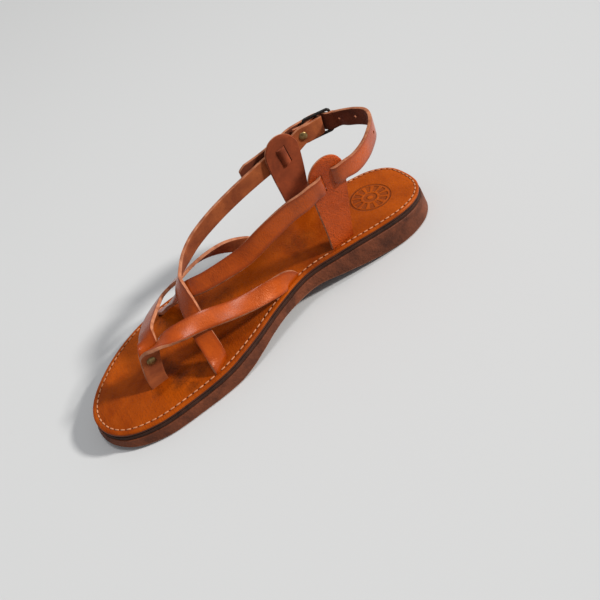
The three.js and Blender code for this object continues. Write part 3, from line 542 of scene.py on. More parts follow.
def spot(tree, axes, x, y, radius):
    dx = calc(tree, "SUBTRACT", axes.outputs["X"], x * MM)
    dy = calc(tree, "SUBTRACT", axes.outputs["Y"], y * MM)
    square = calc(tree, "ADD", calc(tree, "MULTIPLY", dx, dx), calc(tree, "MULTIPLY", dy, dy))
    return calc(tree, "DIVIDE", calc(tree, "SQRT", square), radius * MM), dx, dy


def stains_and_shade_mask(tree, where, axes):
    total = None
    broken = noise(tree, where, 130.0, 4.0, 0.65, 0.5)
    for x, y, radius, weight in STAINS_AND_SHADE:
        far, _, _ = spot(tree, axes, x, y, radius)
        ragged = calc(tree, "MULTIPLY_ADD", broken, -1.2, calc(tree, "ADD", far, 0.6))
        mask = ramp(tree, ragged, [(0.25, weight), (0.95, 0.0)])
        total = mask if total is None else calc(tree, "MAXIMUM", total, mask)
    return total


def cracks_mask(tree, where, stain_and_shade):
    lines = noise(tree, where, 210.0, 3.0, 0.6, 0.8)
    ridge = calc(tree, "ABSOLUTE", calc(tree, "SUBTRACT", lines, 0.5))
    thin = ramp(tree, ridge, [(0.0, 1.0), (0.035, 0.0)])
    near = ramp(tree, stain_and_shade, [(0.05, 0.12), (0.4, 0.8)])
    return calc(tree, "MULTIPLY", thin, near)


def wrinkles_height(tree, where, axes):
    stretch = add(tree, "Mapping", {"Vector": where, "Scale": (70.0, 420.0, 1.0),
                                    "Rotation": (0.0, 0.0, 0.2)})
    lines = noise(tree, stretch.outputs["Vector"], 1.0, 3.0, 0.55, 0.6)
    front = add(tree, "MapRange", {"Value": axes.outputs["Y"], "From Min": -0.02,
                                   "From Max": -0.06, "To Min": 0.0, "To Max": 1.0})
    return calc(tree, "MULTIPLY", lines, front.outputs["Result"])


def stamp_height(tree, axes):
    far, dx, dy = spot(tree, axes, STAMP_AT[0], STAMP_AT[1], STAMP_RADIUS)
    turn = calc(tree, "ARCTAN2", dy, dx)
    petals = calc(tree, "COSINE", calc(tree, "MULTIPLY", turn, 12.0))
    petal = ramp(tree, calc(tree, "MULTIPLY_ADD", petals, 0.5, 0.5), [(0.3, 0), (0.55, 1)])
    band = ramp(tree, far, [(0.42, 0), (0.47, 1), (0.80, 1), (0.85, 0)])
    ring = ramp(tree, far, [(0.88, 0), (0.92, 1), (0.97, 1), (1.0, 0)])
    hub = ramp(tree, far, [(0.12, 0), (0.16, 1), (0.30, 1), (0.35, 0)])
    flower = calc(tree, "MULTIPLY", petal, band)
    return calc(tree, "MAXIMUM", flower, calc(tree, "MAXIMUM", ring, hub))


# %% Material: insole
def insole_material():
    material, tree, shader, where, colour = dyed_material(
        "insole_leather", rgb(0.42, 0.074, 0.002), rgb(0.17, 0.022, 0.001), 22.0, 0.9,
        Coat_Roughness=0.3, Specular_IOR_Level=0.1, Specular_Tint=rgb(1.0, 0.5, 0.2))
    axes = add(tree, "SeparateXYZ", {"Vector": where})
    # Stains round the front slits, and painted shade where the ear and straps shade the insole.
    stain_and_shade = stains_and_shade_mask(tree, where, axes)
    cracks = cracks_mask(tree, where, stain_and_shade)
    rubbed = use_group(tree, film_group, {"Vector": where, "Amount": 0.3}).outputs["Mask"]
    pressed = stamp_height(tree, axes)
    shade = calc(tree, "MULTIPLY", pressed, 0.5)
    for mask, tone in ((stain_and_shade, (0.10, 0.019, 0.003)), (cracks, (0.085, 0.018, 0.003)),
                       (rubbed, (0.50, 0.11, 0.010)), (shade, (0.14, 0.03, 0.008))):
        colour = mix_colour(tree, mask, colour, rgb(*tone))
    patch = noise(tree, where, 45.0, 4.0, 0.6)
    plug(tree, shader, {"Base Color": colour, "Roughness": spread(tree, patch, 0.38, 0.58),
                        "Coat Weight": spread(tree, patch, 0.12, 0.02)})
    grain = use_group(tree, grain_group, {"Vector": where, "Scale": 800.0})
    height = calc(tree, "MULTIPLY_ADD", wrinkles_height(tree, where, axes), 0.9,
                  grain.outputs["Height"])
    first = bump(tree, shader, height, 0.0004)
    bump(tree, shader, calc(tree, "MULTIPLY", pressed, -1.0), 0.0007, 1.0, first)
    return material


insole_skin = insole_material()
print("material:", insole_skin.name)

# %% [markdown]
# Every piece of the sole is a closed skin: a ball pressed flat. Its rings run from the
# middle of the underside, round the rim, to the middle of the top.

# %% Helper: a ball pressed to a shape
SOFT_ANGLE, STRAP_ANGLE, ALL_SMOOTH = 40, 50, 180


def clear_selection():
    if bpy.context.mode != "OBJECT":
        bpy.ops.object.mode_set(mode="OBJECT")
    bpy.ops.object.select_all(action="DESELECT")


def only(obj):
    clear_selection()
    obj.select_set(True)
    bpy.context.view_layer.objects.active = obj


def fresh(name, primitive, **values):
    clear_selection()
    primitive(**values)
    bpy.context.object.name = name
    return bpy.context.object


def linked(name, data):
    obj = bpy.data.objects.new(name, data)
    bpy.context.collection.objects.link(obj)
    return obj


def finish_skin(obj, angle):
    only(obj)
    bpy.ops.object.mode_set(mode="EDIT")
    bpy.ops.mesh.select_all(action="SELECT")
    bpy.ops.mesh.normals_make_consistent(inside=False)
    bpy.ops.object.mode_set(mode="OBJECT")
    bpy.ops.object.shade_smooth_by_angle(angle=math.radians(angle))


def soften(angle, offset, profile=0.5):
    bpy.ops.mesh.select_all(action="DESELECT")
    bpy.ops.mesh.edges_select_sharp(sharpness=math.radians(angle))
    bpy.ops.mesh.bevel(offset=offset, segments=2, profile=profile)
    bpy.ops.object.mode_set(mode="OBJECT")


def pressed_ball(name, segments, rings, place):
    obj = fresh(name, bpy.ops.mesh.primitive_uv_sphere_add, segments=segments,
                ring_count=rings, radius=1)
    for vertex in obj.data.vertices:
        x, y, z = vertex.co
        ring = round(math.acos(max(-1.0, min(1.0, -z))) / math.pi * rings)
        step = round(math.atan2(y, x) / (2 * math.pi) * segments) % segments
        vertex.co = place(step, ring) * MM
    finish_skin(obj, SOFT_ANGLE)
    return obj


def join(name, pieces):
    clear_selection()
    for piece in pieces:
        piece.select_set(True)
    bpy.context.view_layer.objects.active = pieces[0]
    bpy.ops.object.join()
    obj = bpy.context.object
    obj.name = name
    return obj


def use_materials(obj, *materials):
    obj.data.materials.clear()
    for material in materials:
        obj.data.materials.append(material)


def paint_all(obj, index):
    for face in obj.data.polygons:
        face.material_index = index


def paint_sides(obj, out):
    for face in obj.data.polygons:
        facing = face.normal.dot(out)
        face.material_index = 0 if facing > 0.5 else 1 if facing < -0.5 else 2


def turn_to(*axes):
    return Matrix(axes).transposed().to_4x4()


def triangles(obj):
    return sum(len(face.vertices) - 2 for face in obj.data.polygons)


# %% [markdown]
# A layer's rows are the shares of the way from the middle to the rim, and how far past
# the rim the row reaches. Each row also has its height, as a function of the place.

# %% Outsole and midsole
def sole_layer(name, rows, material):
    def place(step, ring):
        share, out, level, rise = rows[ring]
        edge = rim_at(step, out)
        y = edge.y * share
        return Vector((edge.x * share, y, level(y) + rise))

    obj = pressed_ball(name, ROUND, len(rows) - 1, place)
    use_materials(obj, material)
    return obj


def flat_rows(level, shares, out=0.0):
    return [(share, out, level, 0.0) for share in shares]


def layer_rows(base, rim, top):
    return flat_rows(base, INWARD) + rim + flat_rows(top, reversed(INWARD))


OUTSOLE_FLARE = 2.4
OUTSOLE_REVEAL = 0.9
MIDSOLE_REVEAL = 0.25
INWARD = [0.0, 0.25, 0.5, 0.75, 0.92]
outsole_rim = [(1, out, level, rise) for out, level, rise in (
    (OUTSOLE_FLARE - 1.1, underside, 0.0), (OUTSOLE_FLARE - 0.35, underside, 0.3),
    (OUTSOLE_FLARE, underside, 1.1), (OUTSOLE_REVEAL + 0.1, outsole_top, -1.2),
    (OUTSOLE_REVEAL, outsole_top, -0.35), (OUTSOLE_REVEAL - 0.4, outsole_top, 0.0))]
outsole = sole_layer("outsole_body", layer_rows(underside, outsole_rim, outsole_top),
                     outsole_skin)
# A thin band just above the outsole's bottom edge is painted paler: a painted highlight where the
# rounded edge catches the light.
outsole.data.materials.append(outsole_edge_highlight)
for face in outsole.data.polygons:
    rise = face.center.z / MM - underside(face.center.y / MM)
    if 0.2 < rise < 1.1 and abs(face.normal.z) < 0.9:
        face.material_index = 1

midsole_rim = [(1, 0.1, midsole_base, 0.0), (1, MIDSOLE_REVEAL, midsole_base, 0.3),
               (1, MIDSOLE_REVEAL, midsole_top, -0.3), (1, 0.1, midsole_top, 0.0)]
midsole = sole_layer("midsole_body", layer_rows(midsole_base, midsole_rim, midsole_top),
                     midsole_skin)
print("outsole and midsole:", triangles(outsole), triangles(midsole), "triangles")

# %% [markdown]
# The insole has the closest rows, because it shows the most: a groove that the stitches
# lie in, a slight hollow under the heel and the ball of the foot, and a few soft creases
# by the toe post. A crease is a trough along a short line, fading out at both ends.

# %% Relief of the insole
STITCH_INSET = 2.8
INSET_SLOPE = 0.0016
CREASES = [
    # x1, y1, x2, y2, depth, half width
    (21.5, -64.0, 21.5, -94.0, 0.35, 2.6),
    (31.0, -82.0, 37.0, -66.0, 0.30, 2.2),
    (-24.0, -88.0, -6.0, -99.0, 0.25, 2.5),
    (-34.0, -62.0, -22.0, -72.0, 0.25, 2.2),
]


def trough(x, y, line):
    x1, y1, x2, y2, depth, half = line
    run = Vector((x2 - x1, y2 - y1))
    here = Vector((x - x1, y - y1))
    share = here.dot(run) / run.length_squared
    inside = max(0.0, min(1.0, share))
    away = (here - run * inside).length
    return -depth * math.exp(-(away / half) ** 2)


def hollow(x, y, mx, my, wide, long, depth):
    return -depth * math.exp(-((x - mx) / wide) ** 2 - ((y - my) / long) ** 2)


def inset_share(step):
    return 1 - INSET_SLOPE * rim_at(step, 0).y


def insole_relief(x, y):
    low = hollow(x, y, 2.0, 92.0, 22.0, 26.0, 0.5)
    low += hollow(x, y, 4.0, -68.0, 30.0, 26.0, 0.45)
    for line in CREASES:
        low += trough(x, y, line)
    return low


# %% Insole
GROOVE_HALF = 0.75
INNER_EDGE = -7.0
RIM_SHADE = 1.3
insole_rows = flat_rows(insole_base, INWARD)
insole_rows += [(1, -0.3, insole_base, 0.0), (1, 0.0, insole_base, 0.3)]
insole_rows += [(1, out, insole_top, rise) for out, rise in (
    (0.0, -1.5), (0.0, -0.9), (-0.25, -0.35), (-0.8, -0.08), (-1.45, 0.0),
    (GROOVE_HALF - STITCH_INSET, -0.02), (-STITCH_INSET, -0.35),
    (-GROOVE_HALF - STITCH_INSET, -0.02), (INNER_EDGE, 0.0))]
insole_rows += flat_rows(insole_top, [k / 34 for k in range(33, -1, -1)], INNER_EDGE)


def insole_place(step, ring):
    share, out, level, rise = insole_rows[ring]
    edge = rim_at(step, out * inset_share(step) if out < -1 else out)
    x, y = edge.x * share, edge.y * share
    relief = insole_relief(x, y) if level is insole_top else 0.0
    return Vector((x, y, level(y) + rise + relief))


INSOLE_SKINS = (insole_skin, slit_painted_shade, rim_brown)
insole = pressed_ball("insole_body", ROUND, len(insole_rows) - 1, insole_place)
use_materials(insole, *INSOLE_SKINS)
for face in insole.data.polygons:
    depth = insole_top(face.center.y / MM) - face.center.z / MM
    face.material_index = 0 if face.normal.z > 0.4 or depth < RIM_SHADE else 2
print("insole:", triangles(insole), "triangles")

# %% [markdown]
# The slits are knife cuts. A block stands at each one, a little wider than the strap, and
# a Boolean modifier takes it away. The faces it leaves are painted dark, as painted shade
# inside the narrow cut.

# %% Slits in the insole
EARS = {
    "medial": {
        "foot": (26.941, 58.766, 23.800),
        "slits": (31.351, 63.023, 73.550),
        "up": (0.088, 0.085, 0.992),
        "level": (-0.009, 0.996, -0.084),
        "out": (0.996, 0.002, -0.088),
        "along": (0.000, 1.000, 0.020),
        "length": 65.7,
        "shift": 4.00,
    },
    "lateral": {
        "foot": (-23.009, 60.056, 23.800),
        "slits": (-25.529, 64.442, 66.700),
        "up": (-0.058, 0.102, 0.993),
        "level": (0.010, 0.995, -0.101),
        "out": (-0.998, 0.004, -0.059),
        "along": (0.000, 0.998, 0.060),
        "length": 57.7,
        "shift": 2.80,
    },
}
for ear in EARS.values():
    for part in ("foot", "slits", "up", "level", "out", "along"):
        ear[part] = Vector(ear[part])


def cut_with(obj, cutter):
    only(obj)
    modifier = obj.modifiers.new("cut", "BOOLEAN")
    modifier.operation = "DIFFERENCE"
    modifier.solver = "EXACT"
    modifier.material_mode = "INDEX"
    modifier.object = cutter
    bpy.ops.object.modifier_apply(modifier="cut")
    bpy.data.objects.remove(cutter, do_unlink=True)


def block(centre, wide, deep, high, axes, skins, index=0):
    obj = fresh("cutter", bpy.ops.mesh.primitive_cube_add, size=1)
    size = Matrix.Diagonal((wide, deep, high, 1))
    obj.data.transform(Matrix.Scale(MM, 4) @ Matrix.Translation(centre) @ turn_to(*axes) @ size)
    use_materials(obj, *skins)
    paint_all(obj, index)
    return obj


def root_axes(rows, end):
    here = Vector(rows[end][:3])
    inner = Vector(rows[1 if end == 0 else -2][:3])
    run = (inner - here).normalized()
    face = Vector(rows[end][3:])
    face = (face - run * face.dot(run)).normalized()
    return here, [run.cross(face), face, run]


# The path, the end of it that stands in the insole, and how many straps share the slit.
ROOTS = [(STRAP_MEDIAL, 0, 2), (STRAP_MEDIAL, -1, 1), (STRAP_LATERAL, -1, 1),
         (STRAP_OVER, 0, 1), (STRAP_HEEL, 0, 1)]
SLIT_PLAY, SLIT_WIDE, SLIT_DEEP = 1.4, 1.3, 14
slit_lines = []
for rows, end, plies in ROOTS:
    middle, axes = root_axes(rows, end)
    if plies == 2:
        middle = (middle + Vector(STRAP_LATERAL[0][:3])) / 2
    slit_lines.append((middle, axes[0], STRAP_WIDTH / 2))
    size = STRAP_WIDTH + SLIT_PLAY, plies * STRAP_THICKNESS + SLIT_WIDE, SLIT_DEEP
    # The faces left in the insole take the slit colour: painted shade inside the cut.
    cut_with(insole, block(middle, *size, axes, INSOLE_SKINS, 1))
for ear in EARS.values():
    slit_lines.append((ear["foot"], ear["level"], 9.0))
    axes = [ear["level"], ear["out"], ear["up"]]
    cut_with(insole, block(ear["foot"], 18.2, 3.5, SLIT_DEEP, axes, INSOLE_SKINS, 1))
only(insole)
bpy.ops.object.shade_smooth_by_angle(angle=math.radians(SOFT_ANGLE))
print("insole with slits:", triangles(insole), "triangles")

# %% [markdown]
# The lock stitches run in the groove, about four millimetres apart. One stitch is a small
# rounded bar with the needle's hole behind it, painted dark as painted shade in the hole;
# each copy is turned along the rim, and all are joined. The row stops short of a slit, so
# that no strap lies on a stitch.

# %% Stitches
STITCH_PITCH = 4.3
STITCH_LENGTH = 3.1
STITCH_CLEAR = 2.3


def flat_distance(spot_at, slit):
    middle, run, half = slit
    away = Vector((spot_at.x - middle.x, spot_at.y - middle.y, 0))
    along = max(-half, min(half, away.dot(run)))
    return (away - run * along).length


def one_stitch():
    obj = fresh("stitch", bpy.ops.mesh.primitive_uv_sphere_add, segments=8, ring_count=6,
                radius=1)
    for vertex in obj.data.vertices:
        x, y, z = vertex.co
        long = math.copysign(abs(z) ** 0.6, z) * STITCH_LENGTH / 2
        vertex.co = Vector((x * 0.52, long, y * 0.38)) * MM
    bpy.ops.object.shade_smooth()
    use_materials(obj, thread_skin, slit_painted_shade)
    hole = fresh("needle_hole", bpy.ops.mesh.primitive_uv_sphere_add, segments=8,
                 ring_count=4, radius=0.5 * MM)
    hole.data.transform(Matrix.Translation((0, STITCH_PITCH / 2 * MM, -0.0003))
                        @ Matrix.Diagonal((1, 1, 0.3, 1)))
    use_materials(hole, thread_skin, slit_painted_shade)
    # The needle hole takes the slit colour: painted shade in the hole.
    paint_all(hole, 1)
    return join("insole_stitches", [obj, hole])


def stitch_row():
    line = [rim_at(k, -STITCH_INSET * inset_share(k)) for k in range(ROUND)]
    count = round(rim_length / STITCH_PITCH)
    spots, _ = even_points(line, count)
    first = one_stitch()
    copies = []
    for k, spot_at in enumerate(spots):
        if min(flat_distance(spot_at, slit) for slit in slit_lines) < STITCH_CLEAR:
            continue
        ahead, behind = spots[(k + 1) % count], spots[k - 1]
        run = ahead - behind
        run.z = insole_top(ahead.y) - insole_top(behind.y)
        run.normalize()
        level = run.cross(Vector((0, 0, 1))).normalized()
        turn = turn_to(level, run, level.cross(run))
        at = Vector((spot_at.x, spot_at.y, insole_top(spot_at.y) - 0.02))
        mesh = first.data.copy()
        mesh.transform(Matrix.Translation(at * MM) @ turn)
        copies.append(linked("stitch", mesh))
    bpy.data.objects.remove(first, do_unlink=True)
    return join("insole_stitches", copies), len(copies)


stitches, stitch_count = stitch_row()
print("stitches:", stitch_count)

# %% [markdown]
# A strap is cut flat, with its holes and its end, and only then bent into place: a grid is
# extruded, bevelled and cut, and each point is moved to the same place along the path.

# %% Helper: a strip of leather
STRIP_STEP = 1.6
STRIP_COLUMNS = 8
STRIP_BEVEL = 0.4


def strip(name, length, wide, thick):
    obj = fresh(name, bpy.ops.mesh.primitive_grid_add, x_subdivisions=STRIP_COLUMNS,
                y_subdivisions=max(6, round(length / STRIP_STEP)), size=1)
    bpy.ops.object.mode_set(mode="EDIT")
    bpy.ops.mesh.select_all(action="SELECT")
    bpy.ops.transform.resize(value=(wide, length, 1))
    bpy.ops.transform.translate(value=(0, length / 2, -thick / 2))
    bpy.ops.mesh.extrude_region_move(TRANSFORM_OT_translate={"value": (0, 0, thick)})
    bpy.ops.mesh.select_all(action="SELECT")
    bpy.ops.mesh.normals_make_consistent(inside=False)
    soften(50, STRIP_BEVEL, 0.6)
    return obj


def path_of(rows):
    spots = [Vector(row[:3]) for row in rows]
    faces = [Vector(row[3:]).normalized() for row in rows]
    count = 60 * (len(rows) - 1)
    samples = [(0.0, spots[0], faces[0])]
    for k in range(1, count + 1):
        at = curve_point(spots, k / count)
        reach = samples[-1][0] + (at - samples[-1][1]).length
        samples.append((reach, at, curve_point(faces, k / count)))
    return samples


def frame_along(samples, y):
    high = bisect.bisect_right(samples, y, key=lambda sample: sample[0])
    high = max(1, min(high, len(samples) - 1))
    low = high - 1
    a, b = samples[low], samples[high]
    share = (y - a[0]) / max(b[0] - a[0], 1e-9)
    at = a[1].lerp(b[1], share)
    lo, hi = samples[max(low - 1, 0)], samples[min(high + 1, len(samples) - 1)]
    run = (hi[1] - lo[1]).normalized()
    face = a[2].lerp(b[2], share)
    face = (face - run * face.dot(run)).normalized()
    return at, run.cross(face), face


CROWN = 0.12


def bend(obj, samples):
    paint_sides(obj, Vector((0, 0, 1)))
    cache = {}
    for vertex in obj.data.vertices:
        x, y, z = vertex.co
        key = round(y, 3)
        if key not in cache:
            cache[key] = frame_along(samples, y)
        at, side_way, face_way = cache[key]
        lift = CROWN * (0.5 - (x / (STRAP_WIDTH / 2)) ** 2)
        vertex.co = (at + side_way * x + face_way * (z + lift)) * MM
    finish_skin(obj, STRAP_ANGLE)


STRAP_SKINS = (strap_grain, strap_flesh, strap_edge)
HOLE_RADIUS = 1.1


def punch(obj, holes):
    for y in holes:
        cutter = fresh("cutter", bpy.ops.mesh.primitive_cylinder_add, vertices=16,
                       radius=HOLE_RADIUS, depth=6, location=(0, y, 0))
        bpy.ops.object.transform_apply()
        cut_with(obj, cutter)


# %% Straps
TIP_BLUNT = 0.5
PINCH, PINCH_REACH, FAR_OFF = 0.12, 4.5, -99.0
HIDE_THICKNESS = 2.3


def make_strap(name, rows, holes=(), tip=0.0, pinched="", wide=STRAP_WIDTH,
               thick=HIDE_THICKNESS):
    samples = path_of(rows)
    length = samples[-1][0]
    pinch_at = {"": FAR_OFF, "start": 0.0, "end": length}[pinched]
    obj = strip(name, length, wide, thick)
    use_materials(obj, *STRAP_SKINS)
    for vertex in obj.data.vertices:
        left = length - vertex.co.y
        if 0 < tip > left:
            share = max(0.0, left / tip)
            vertex.co.x *= TIP_BLUNT + (1 - TIP_BLUNT) * share ** 0.6
        vertex.co.x *= 1 - PINCH * max(0.0, 1 - abs(vertex.co.y - pinch_at) / PINCH_REACH)
    punch(obj, holes)
    bend(obj, samples)
    print(name, round(length), "mm long,", triangles(obj), "triangles")
    return obj


LOOP_OUT, LOOP_LONG = 0.5, 1.0


# The loop on the inner side of the lateral ear is as dark as the ear itself.
def darken_loop(obj, ear):
    obj.data.materials.append(ear_flesh)
    for face in obj.data.polygons:
        place = face.center / MM - ear["slits"]
        along = abs(place.dot(ear["along"]))
        if place.dot(ear["out"]) < LOOP_OUT and along < ear["shift"] + LOOP_LONG:
            face.material_index = len(STRAP_SKINS)


HOLE_FIRST, HOLE_PITCH, HOLE_COUNT = 221.8, 14.1, 8
strap_holes = [HOLE_FIRST + HOLE_PITCH * k for k in range(HOLE_COUNT)]
strap_medial = make_strap("strap_medial", STRAP_MEDIAL)
strap_lateral = make_strap("strap_lateral", STRAP_LATERAL)
strap_over = make_strap("strap_over", STRAP_OVER, pinched="end")
darken_loop(strap_over, EARS["lateral"])
folded_end = make_strap("strap_over_end", FOLDED_END, pinched="start", wide=STRAP_WIDTH - 0.2,
                        thick=STRAP_THICKNESS - 0.1)
strap_heel = make_strap("strap_heel", STRAP_HEEL, strap_holes, tip=5.0)
# The heel strap's flesh side takes the darker colour, painted shade for its shadowed inner face.
strap_heel.data.materials[1] = heel_flesh_painted_shade

# %% [markdown]
# Each ear is a drop-shaped flap that stands in a slit beside the heel. It is a pressed
# ball again, this time standing, with two slots that a strap goes through.

# %% Ears
EAR_ROOT = 2.8
EAR_HALF_BASE = 8.5
EAR_HEAD = 12.5
EAR_THICKNESS = 2.2
EAR_SKINS = (ear_grain, ear_flesh, strap_edge)
EAR_HEART = 0.55
CUP_DEPTH = 0.6


def ear_half(h, head_at):
    if h >= head_at:
        return math.sqrt(max(0.0, EAR_HEAD ** 2 - (h - head_at) ** 2))
    t = max(0.0, h / head_at)
    return EAR_HALF_BASE + (EAR_HEAD - EAR_HALF_BASE) * (t * t * (3 - 2 * t)) ** 0.9


def ear_outline(length):
    head_at = length - EAR_HEAD
    right = [(EAR_HALF_BASE, -EAR_ROOT)]
    right += [(ear_half(head_at * k / 14, head_at), head_at * k / 14) for k in range(15)]
    turns = [math.pi * k / 24 for k in range(1, 24)]
    arc = [(EAR_HEAD * math.cos(a), head_at + EAR_HEAD * math.sin(a)) for a in turns]
    left = [(-x, h) for x, h in reversed(right)]
    line = [Vector((x, h, 0)) for x, h in right + arc + left]
    base = [Vector((-EAR_HALF_BASE * (1 - k / 4), -EAR_ROOT, 0)) for k in range(1, 8)]
    return line + base


def make_ear(name, ear, slots):
    rim = ear_outline(ear["length"])
    count = len(rim)
    heart = Vector((0, ear["length"] * EAR_HEART, 0))
    half = EAR_THICKNESS / 2
    rows = [(k / 8, -half) for k in range(8)] + [(0.97, -half), (1.0, -half * 0.45)]
    rows += [(1.0, half * 0.45), (0.97, half)] + [(k / 8, half) for k in range(7, -1, -1)]

    def place(step, ring):
        share, level = rows[ring]
        spot_at = heart.lerp(rim[step], share)
        cup = 0.5 * (spot_at.y / ear["length"]) ** 2 - 0.25 * (spot_at.x / EAR_HEAD) ** 2
        at = ear["foot"] + ear["level"] * spot_at.x + ear["up"] * spot_at.y
        return at + ear["out"] * (level + cup * CUP_DEPTH)

    obj = pressed_ball(name, count, len(rows) - 1, place)
    use_materials(obj, *EAR_SKINS)
    paint_sides(obj, ear["out"])
    for slot in slots:
        cut_with(obj, slot)
    return obj


DIVE_LONG, DIVE_DEEP = 3.4, 4.3
SLOT_OPEN = {"medial": STRAP_THICKNESS + 1.0, "lateral": STRAP_THICKNESS + 0.5}
SLOT_PUSH = 0.15


def slot_block(ear, shift, way, wide):
    dive = (ear["along"] * DIVE_LONG + ear["out"] * DIVE_DEEP * way).normalized()
    up = ear["out"].cross(ear["along"]).normalized()
    centre = ear["slits"] + ear["along"] * (shift + SLOT_PUSH)
    return block(centre, wide, STRAP_WIDTH + 0.6, 8, [up.cross(dive), up, dive], EAR_SKINS)


for side_name, ear in EARS.items():
    slots = [slot_block(ear, way * ear["shift"], way, SLOT_OPEN[side_name]) for way in (-1, 1)]
    ear["piece"] = make_ear("ear_" + side_name, ear, slots)
    print("ear", side_name, triangles(ear["piece"]), "triangles")

# %% [markdown]
# The buckle is a bent wire frame with a bar across its middle and a prong hinged on the
# bar. A ring, pressed into a rounded rectangle, gives the frame with no seam.

# %% Buckle
BUCKLE = {
    "at": Vector((-28.589, 96.692, 68.410)),
    "run": Vector((0.214, 0.974, -0.068)),
    "out": Vector((-0.977, 0.214, -0.015)),
    "up": Vector((0.000, -0.070, -0.998)),
}
BUCKLE_HALF_LONG = 9.5
BUCKLE_HALF_TALL = 7.6
WIRE_RADIUS = 1.0
BUCKLE_CORNER = 2.2


def buckle_place(run, out, up):
    at = BUCKLE["at"] + BUCKLE["run"] * run + BUCKLE["out"] * out + BUCKLE["up"] * up
    return at * MM


def rounded_way(share):
    a, b, r = BUCKLE_HALF_LONG, BUCKLE_HALF_TALL, BUCKLE_CORNER
    corners = [(a - r, b - r, 0), (r - a, b - r, 1), (r - a, r - b, 2), (a - r, r - b, 3)]
    line = []
    for x, y, quarter in corners:
        for k in range(7):
            angle = math.pi / 2 * (quarter + k / 6)
            line.append((Vector((x + r * math.cos(angle), y + r * math.sin(angle), 0)),
                         Vector((math.cos(angle), math.sin(angle), 0))))
    place = share * len(line)
    i = int(place) % len(line)
    w = place - int(place)
    here, there = line[i], line[(i + 1) % len(line)]
    return here[0].lerp(there[0], w), here[1].lerp(there[1], w).normalized()


def ring_to(name, major_steps, minor_steps, place):
    obj = fresh(name, bpy.ops.mesh.primitive_torus_add, major_segments=major_steps,
                minor_segments=minor_steps, major_radius=2, minor_radius=1)
    for vertex in obj.data.vertices:
        x, y, z = vertex.co
        vertex.co = place(math.atan2(y, x) / (2 * math.pi) % 1.0, math.hypot(x, y) - 2, z)
    finish_skin(obj, ALL_SMOOTH)
    use_materials(obj, buckle_metal)
    return obj


def frame_place(share, across, level):
    spot_at, away = rounded_way(share)
    spot_at = spot_at + away * across * WIRE_RADIUS
    return buckle_place(spot_at.x, level * WIRE_RADIUS, spot_at.y)


def bar(name, start, end, radius):
    obj = fresh(name, bpy.ops.mesh.primitive_cylinder_add, vertices=16, radius=radius * MM,
                depth=(end - start).length)
    bpy.ops.object.mode_set(mode="EDIT")
    soften(60, radius * 0.35 * MM)
    turn = (end - start).to_track_quat("Z", "Y").to_matrix().to_4x4()
    obj.data.transform(Matrix.Translation((start + end) / 2) @ turn)
    bpy.ops.object.shade_smooth_by_angle(angle=math.radians(SOFT_ANGLE))
    use_materials(obj, buckle_metal)
    return obj


outer = ring_to("frame_wire", 112, 12, frame_place)
centre_bar = bar("centre_bar", buckle_place(0, 0, -BUCKLE_HALF_TALL),
                 buckle_place(0, 0, BUCKLE_HALF_TALL), 0.85)
buckle = join("buckle_wire", [outer, centre_bar])

# %% [markdown]
# The prong is a wire with an eye round the centre bar. It comes through a hole of the heel
# strap and rests on the heel end of the frame.

# %% Prong
PRONG_RADIUS = 0.6
EYE_RADIUS = 1.85
eye = ring_to("prong_eye", 24, 8, lambda share, across, level: buckle_place(
    (EYE_RADIUS + across * PRONG_RADIUS) * math.cos(2 * math.pi * share),
    (EYE_RADIUS + across * PRONG_RADIUS) * math.sin(2 * math.pi * share),
    level * PRONG_RADIUS))
arm = bar("prong_arm", buckle_place(0, EYE_RADIUS, 0), buckle_place(4.75, EYE_RADIUS, 0), 0.58)
tip_arm = bar("prong_tip", buckle_place(4.4, EYE_RADIUS, 0), buckle_place(10.3, 1.55, 0), 0.56)
prong = join("prong_wire", [eye, arm, tip_arm])
print("buckle:", triangles(buckle), "prong:", triangles(prong), "triangles")

# %% [markdown]
# A rivet is a shaft with a domed head at each end. It is a closed skin too: the rows are
# radius and height, from the tip of a head to the shaft.

# %% Rivets
RIVET_ROWS = [(0, -1.0), (1.0, -0.96), (2.0, -0.72), (2.7, -0.34), (2.95, -0.1), (3.0, 0.0),
              (2.9, 0.04), (1.5, 0.05)]
POST_RIVET = Vector((15.241, -79.464, 31.848))
GRIP = 2 * STRAP_THICKNESS - 0.1
RIVET_STEPS = 40
LOOP_RIVET_BACK, LOOP_RIVET_IN = -13.11, -3.15


def make_rivet(name, centre, way):
    half = GRIP / 2 + 0.28
    rows = [(r, -half + h * 0.9) for r, h in RIVET_ROWS]
    rows += [(r, half - h * 0.9) for r, h in reversed(RIVET_ROWS)]
    side_way = way.orthogonal().normalized()
    other = way.cross(side_way)

    def place(step, ring):
        radius, level = rows[ring]
        angle = 2 * math.pi * step / RIVET_STEPS
        spot_at = side_way * math.cos(angle) + other * math.sin(angle)
        return centre + spot_at * radius + way * level

    obj = pressed_ball(name, RIVET_STEPS, len(rows) - 1, place)
    use_materials(obj, rivet_brass)
    return obj


post_rivet = make_rivet("post_rivet", POST_RIVET, Vector((1, 0, 0)))
loop_at = BUCKLE["at"] + BUCKLE["run"] * LOOP_RIVET_BACK + BUCKLE["out"] * LOOP_RIVET_IN
loop_rivet = make_rivet("loop_rivet", loop_at, BUCKLE["out"])
print("rivets:", triangles(post_rivet), triangles(loop_rivet), "triangles")

# %% [markdown]
# Now the pieces are tied to the solids: each one rides on the only body, and the solid it
# stands for is hidden. Each row also names a material slot, which is not used here.

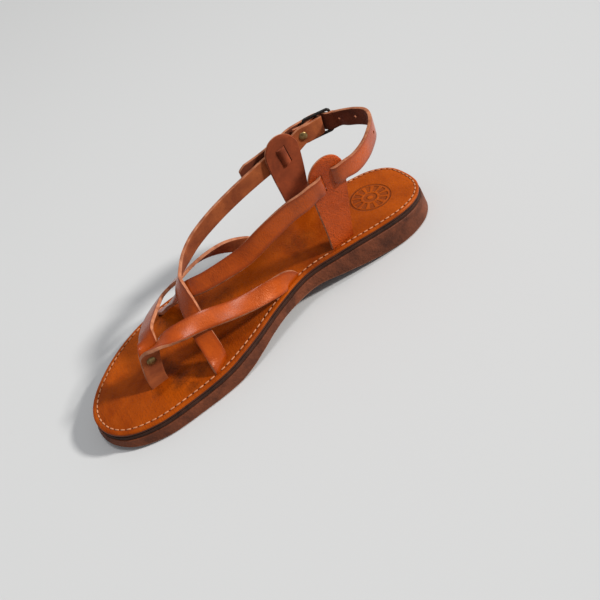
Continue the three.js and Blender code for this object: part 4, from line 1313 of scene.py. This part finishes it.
# %% Tying the pieces to the frame
TIES = [(strap, "upper", "strap_leather") for strap in (
    strap_medial, strap_lateral, strap_over, folded_end, strap_heel)]
TIES += [
    (outsole, "outsole", "outsole_brown"),
    (midsole, "midsole", "midsole_dark"),
    (insole, "insole", "insole_leather"),
    (stitches, "insole", "insole_leather"),
    (EARS["medial"]["piece"], "heel_ear_medial", "ear_leather"),
    (EARS["lateral"]["piece"], "heel_ear_lateral", "ear_leather"),
    (buckle, "buckle_frame", "buckle_metal"),
    (prong, "buckle_prong", "buckle_metal"),
    (post_rivet, "rivet_toe_post", "rivet_brass"),
    (loop_rivet, "rivet_buckle_loop", "rivet_brass"),
]
for piece, node, slot_name in TIES:
    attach(piece, "root")
    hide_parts(node)
print("pieces:", len(TIES))

# %% [markdown]
# The sandal stands on a pale plain floor. A key lamp behind it and to the right gives the
# shadow, a small lamp overhead the shine on the straps, and a pale sky fills the rest.

# %% Floor and light
floor = fresh("floor", bpy.ops.mesh.primitive_plane_add, size=6)
floor.location = (0, 0, -0.0002)
floor_paint, _, floor_shader, _ = start_material("floor_paint", Roughness=0.9)
floor_shader.inputs["Base Color"].default_value = (0.605, 0.62, 0.63, 1)
use_materials(floor, floor_paint)


def lamp(name, kind, place, power, colour, **more):
    data = bpy.data.lights.new(name, kind)
    data.energy = power
    data.color = colour
    for key, value in more.items():
        setattr(data, key, value)
    obj = linked(name, data)
    obj.location = place
    obj.rotation_euler = Vector(place).to_track_quat("Z", "Y").to_euler()
    return obj


key = lamp("key_lamp", "SUN", (0.42, 0.80, 0.50), 3.6, (1.0, 0.965, 0.92), angle=0.11)
shine = lamp("shine_lamp", "AREA", (0.15, 0.14, 1.30), 4.3, (1.0, 0.98, 0.97), size=0.34)

world = bpy.data.worlds.new("sky")
world.use_nodes = True
sky = world.node_tree.nodes["Background"]
sky.inputs["Color"].default_value = (0.86, 0.86, 0.87, 1)
sky.inputs["Strength"].default_value = 0.42
bpy.context.scene.world = world

# %% [markdown]
# The camera stands where the photographer stood, found from the outlines of the sandal:
# the medial side is near, the toe points down to the left, and the view is rolled.

# %% Camera
CAMERA_AT = Vector((325.9, -58.3, 294.0))
CAMERA_RIGHT = Vector((0.5253, 0.7785, -0.3436))
CAMERA_UP = Vector((-0.4709, 0.6022, 0.6447))
camera_data = bpy.data.cameras.new("camera")
camera_data.sensor_width = 36
camera_data.lens = 39.64
camera_data.clip_start = 0.01
camera = linked("camera", camera_data)
back = CAMERA_RIGHT.cross(CAMERA_UP).normalized()
turn = turn_to(CAMERA_RIGHT, CAMERA_UP, back)
camera.matrix_world = Matrix.Translation(CAMERA_AT * MM) @ turn
bpy.context.scene.camera = camera
bpy.context.scene.view_settings.view_transform = "Standard"
print("camera height:", round(camera.location.z, 3), "m")
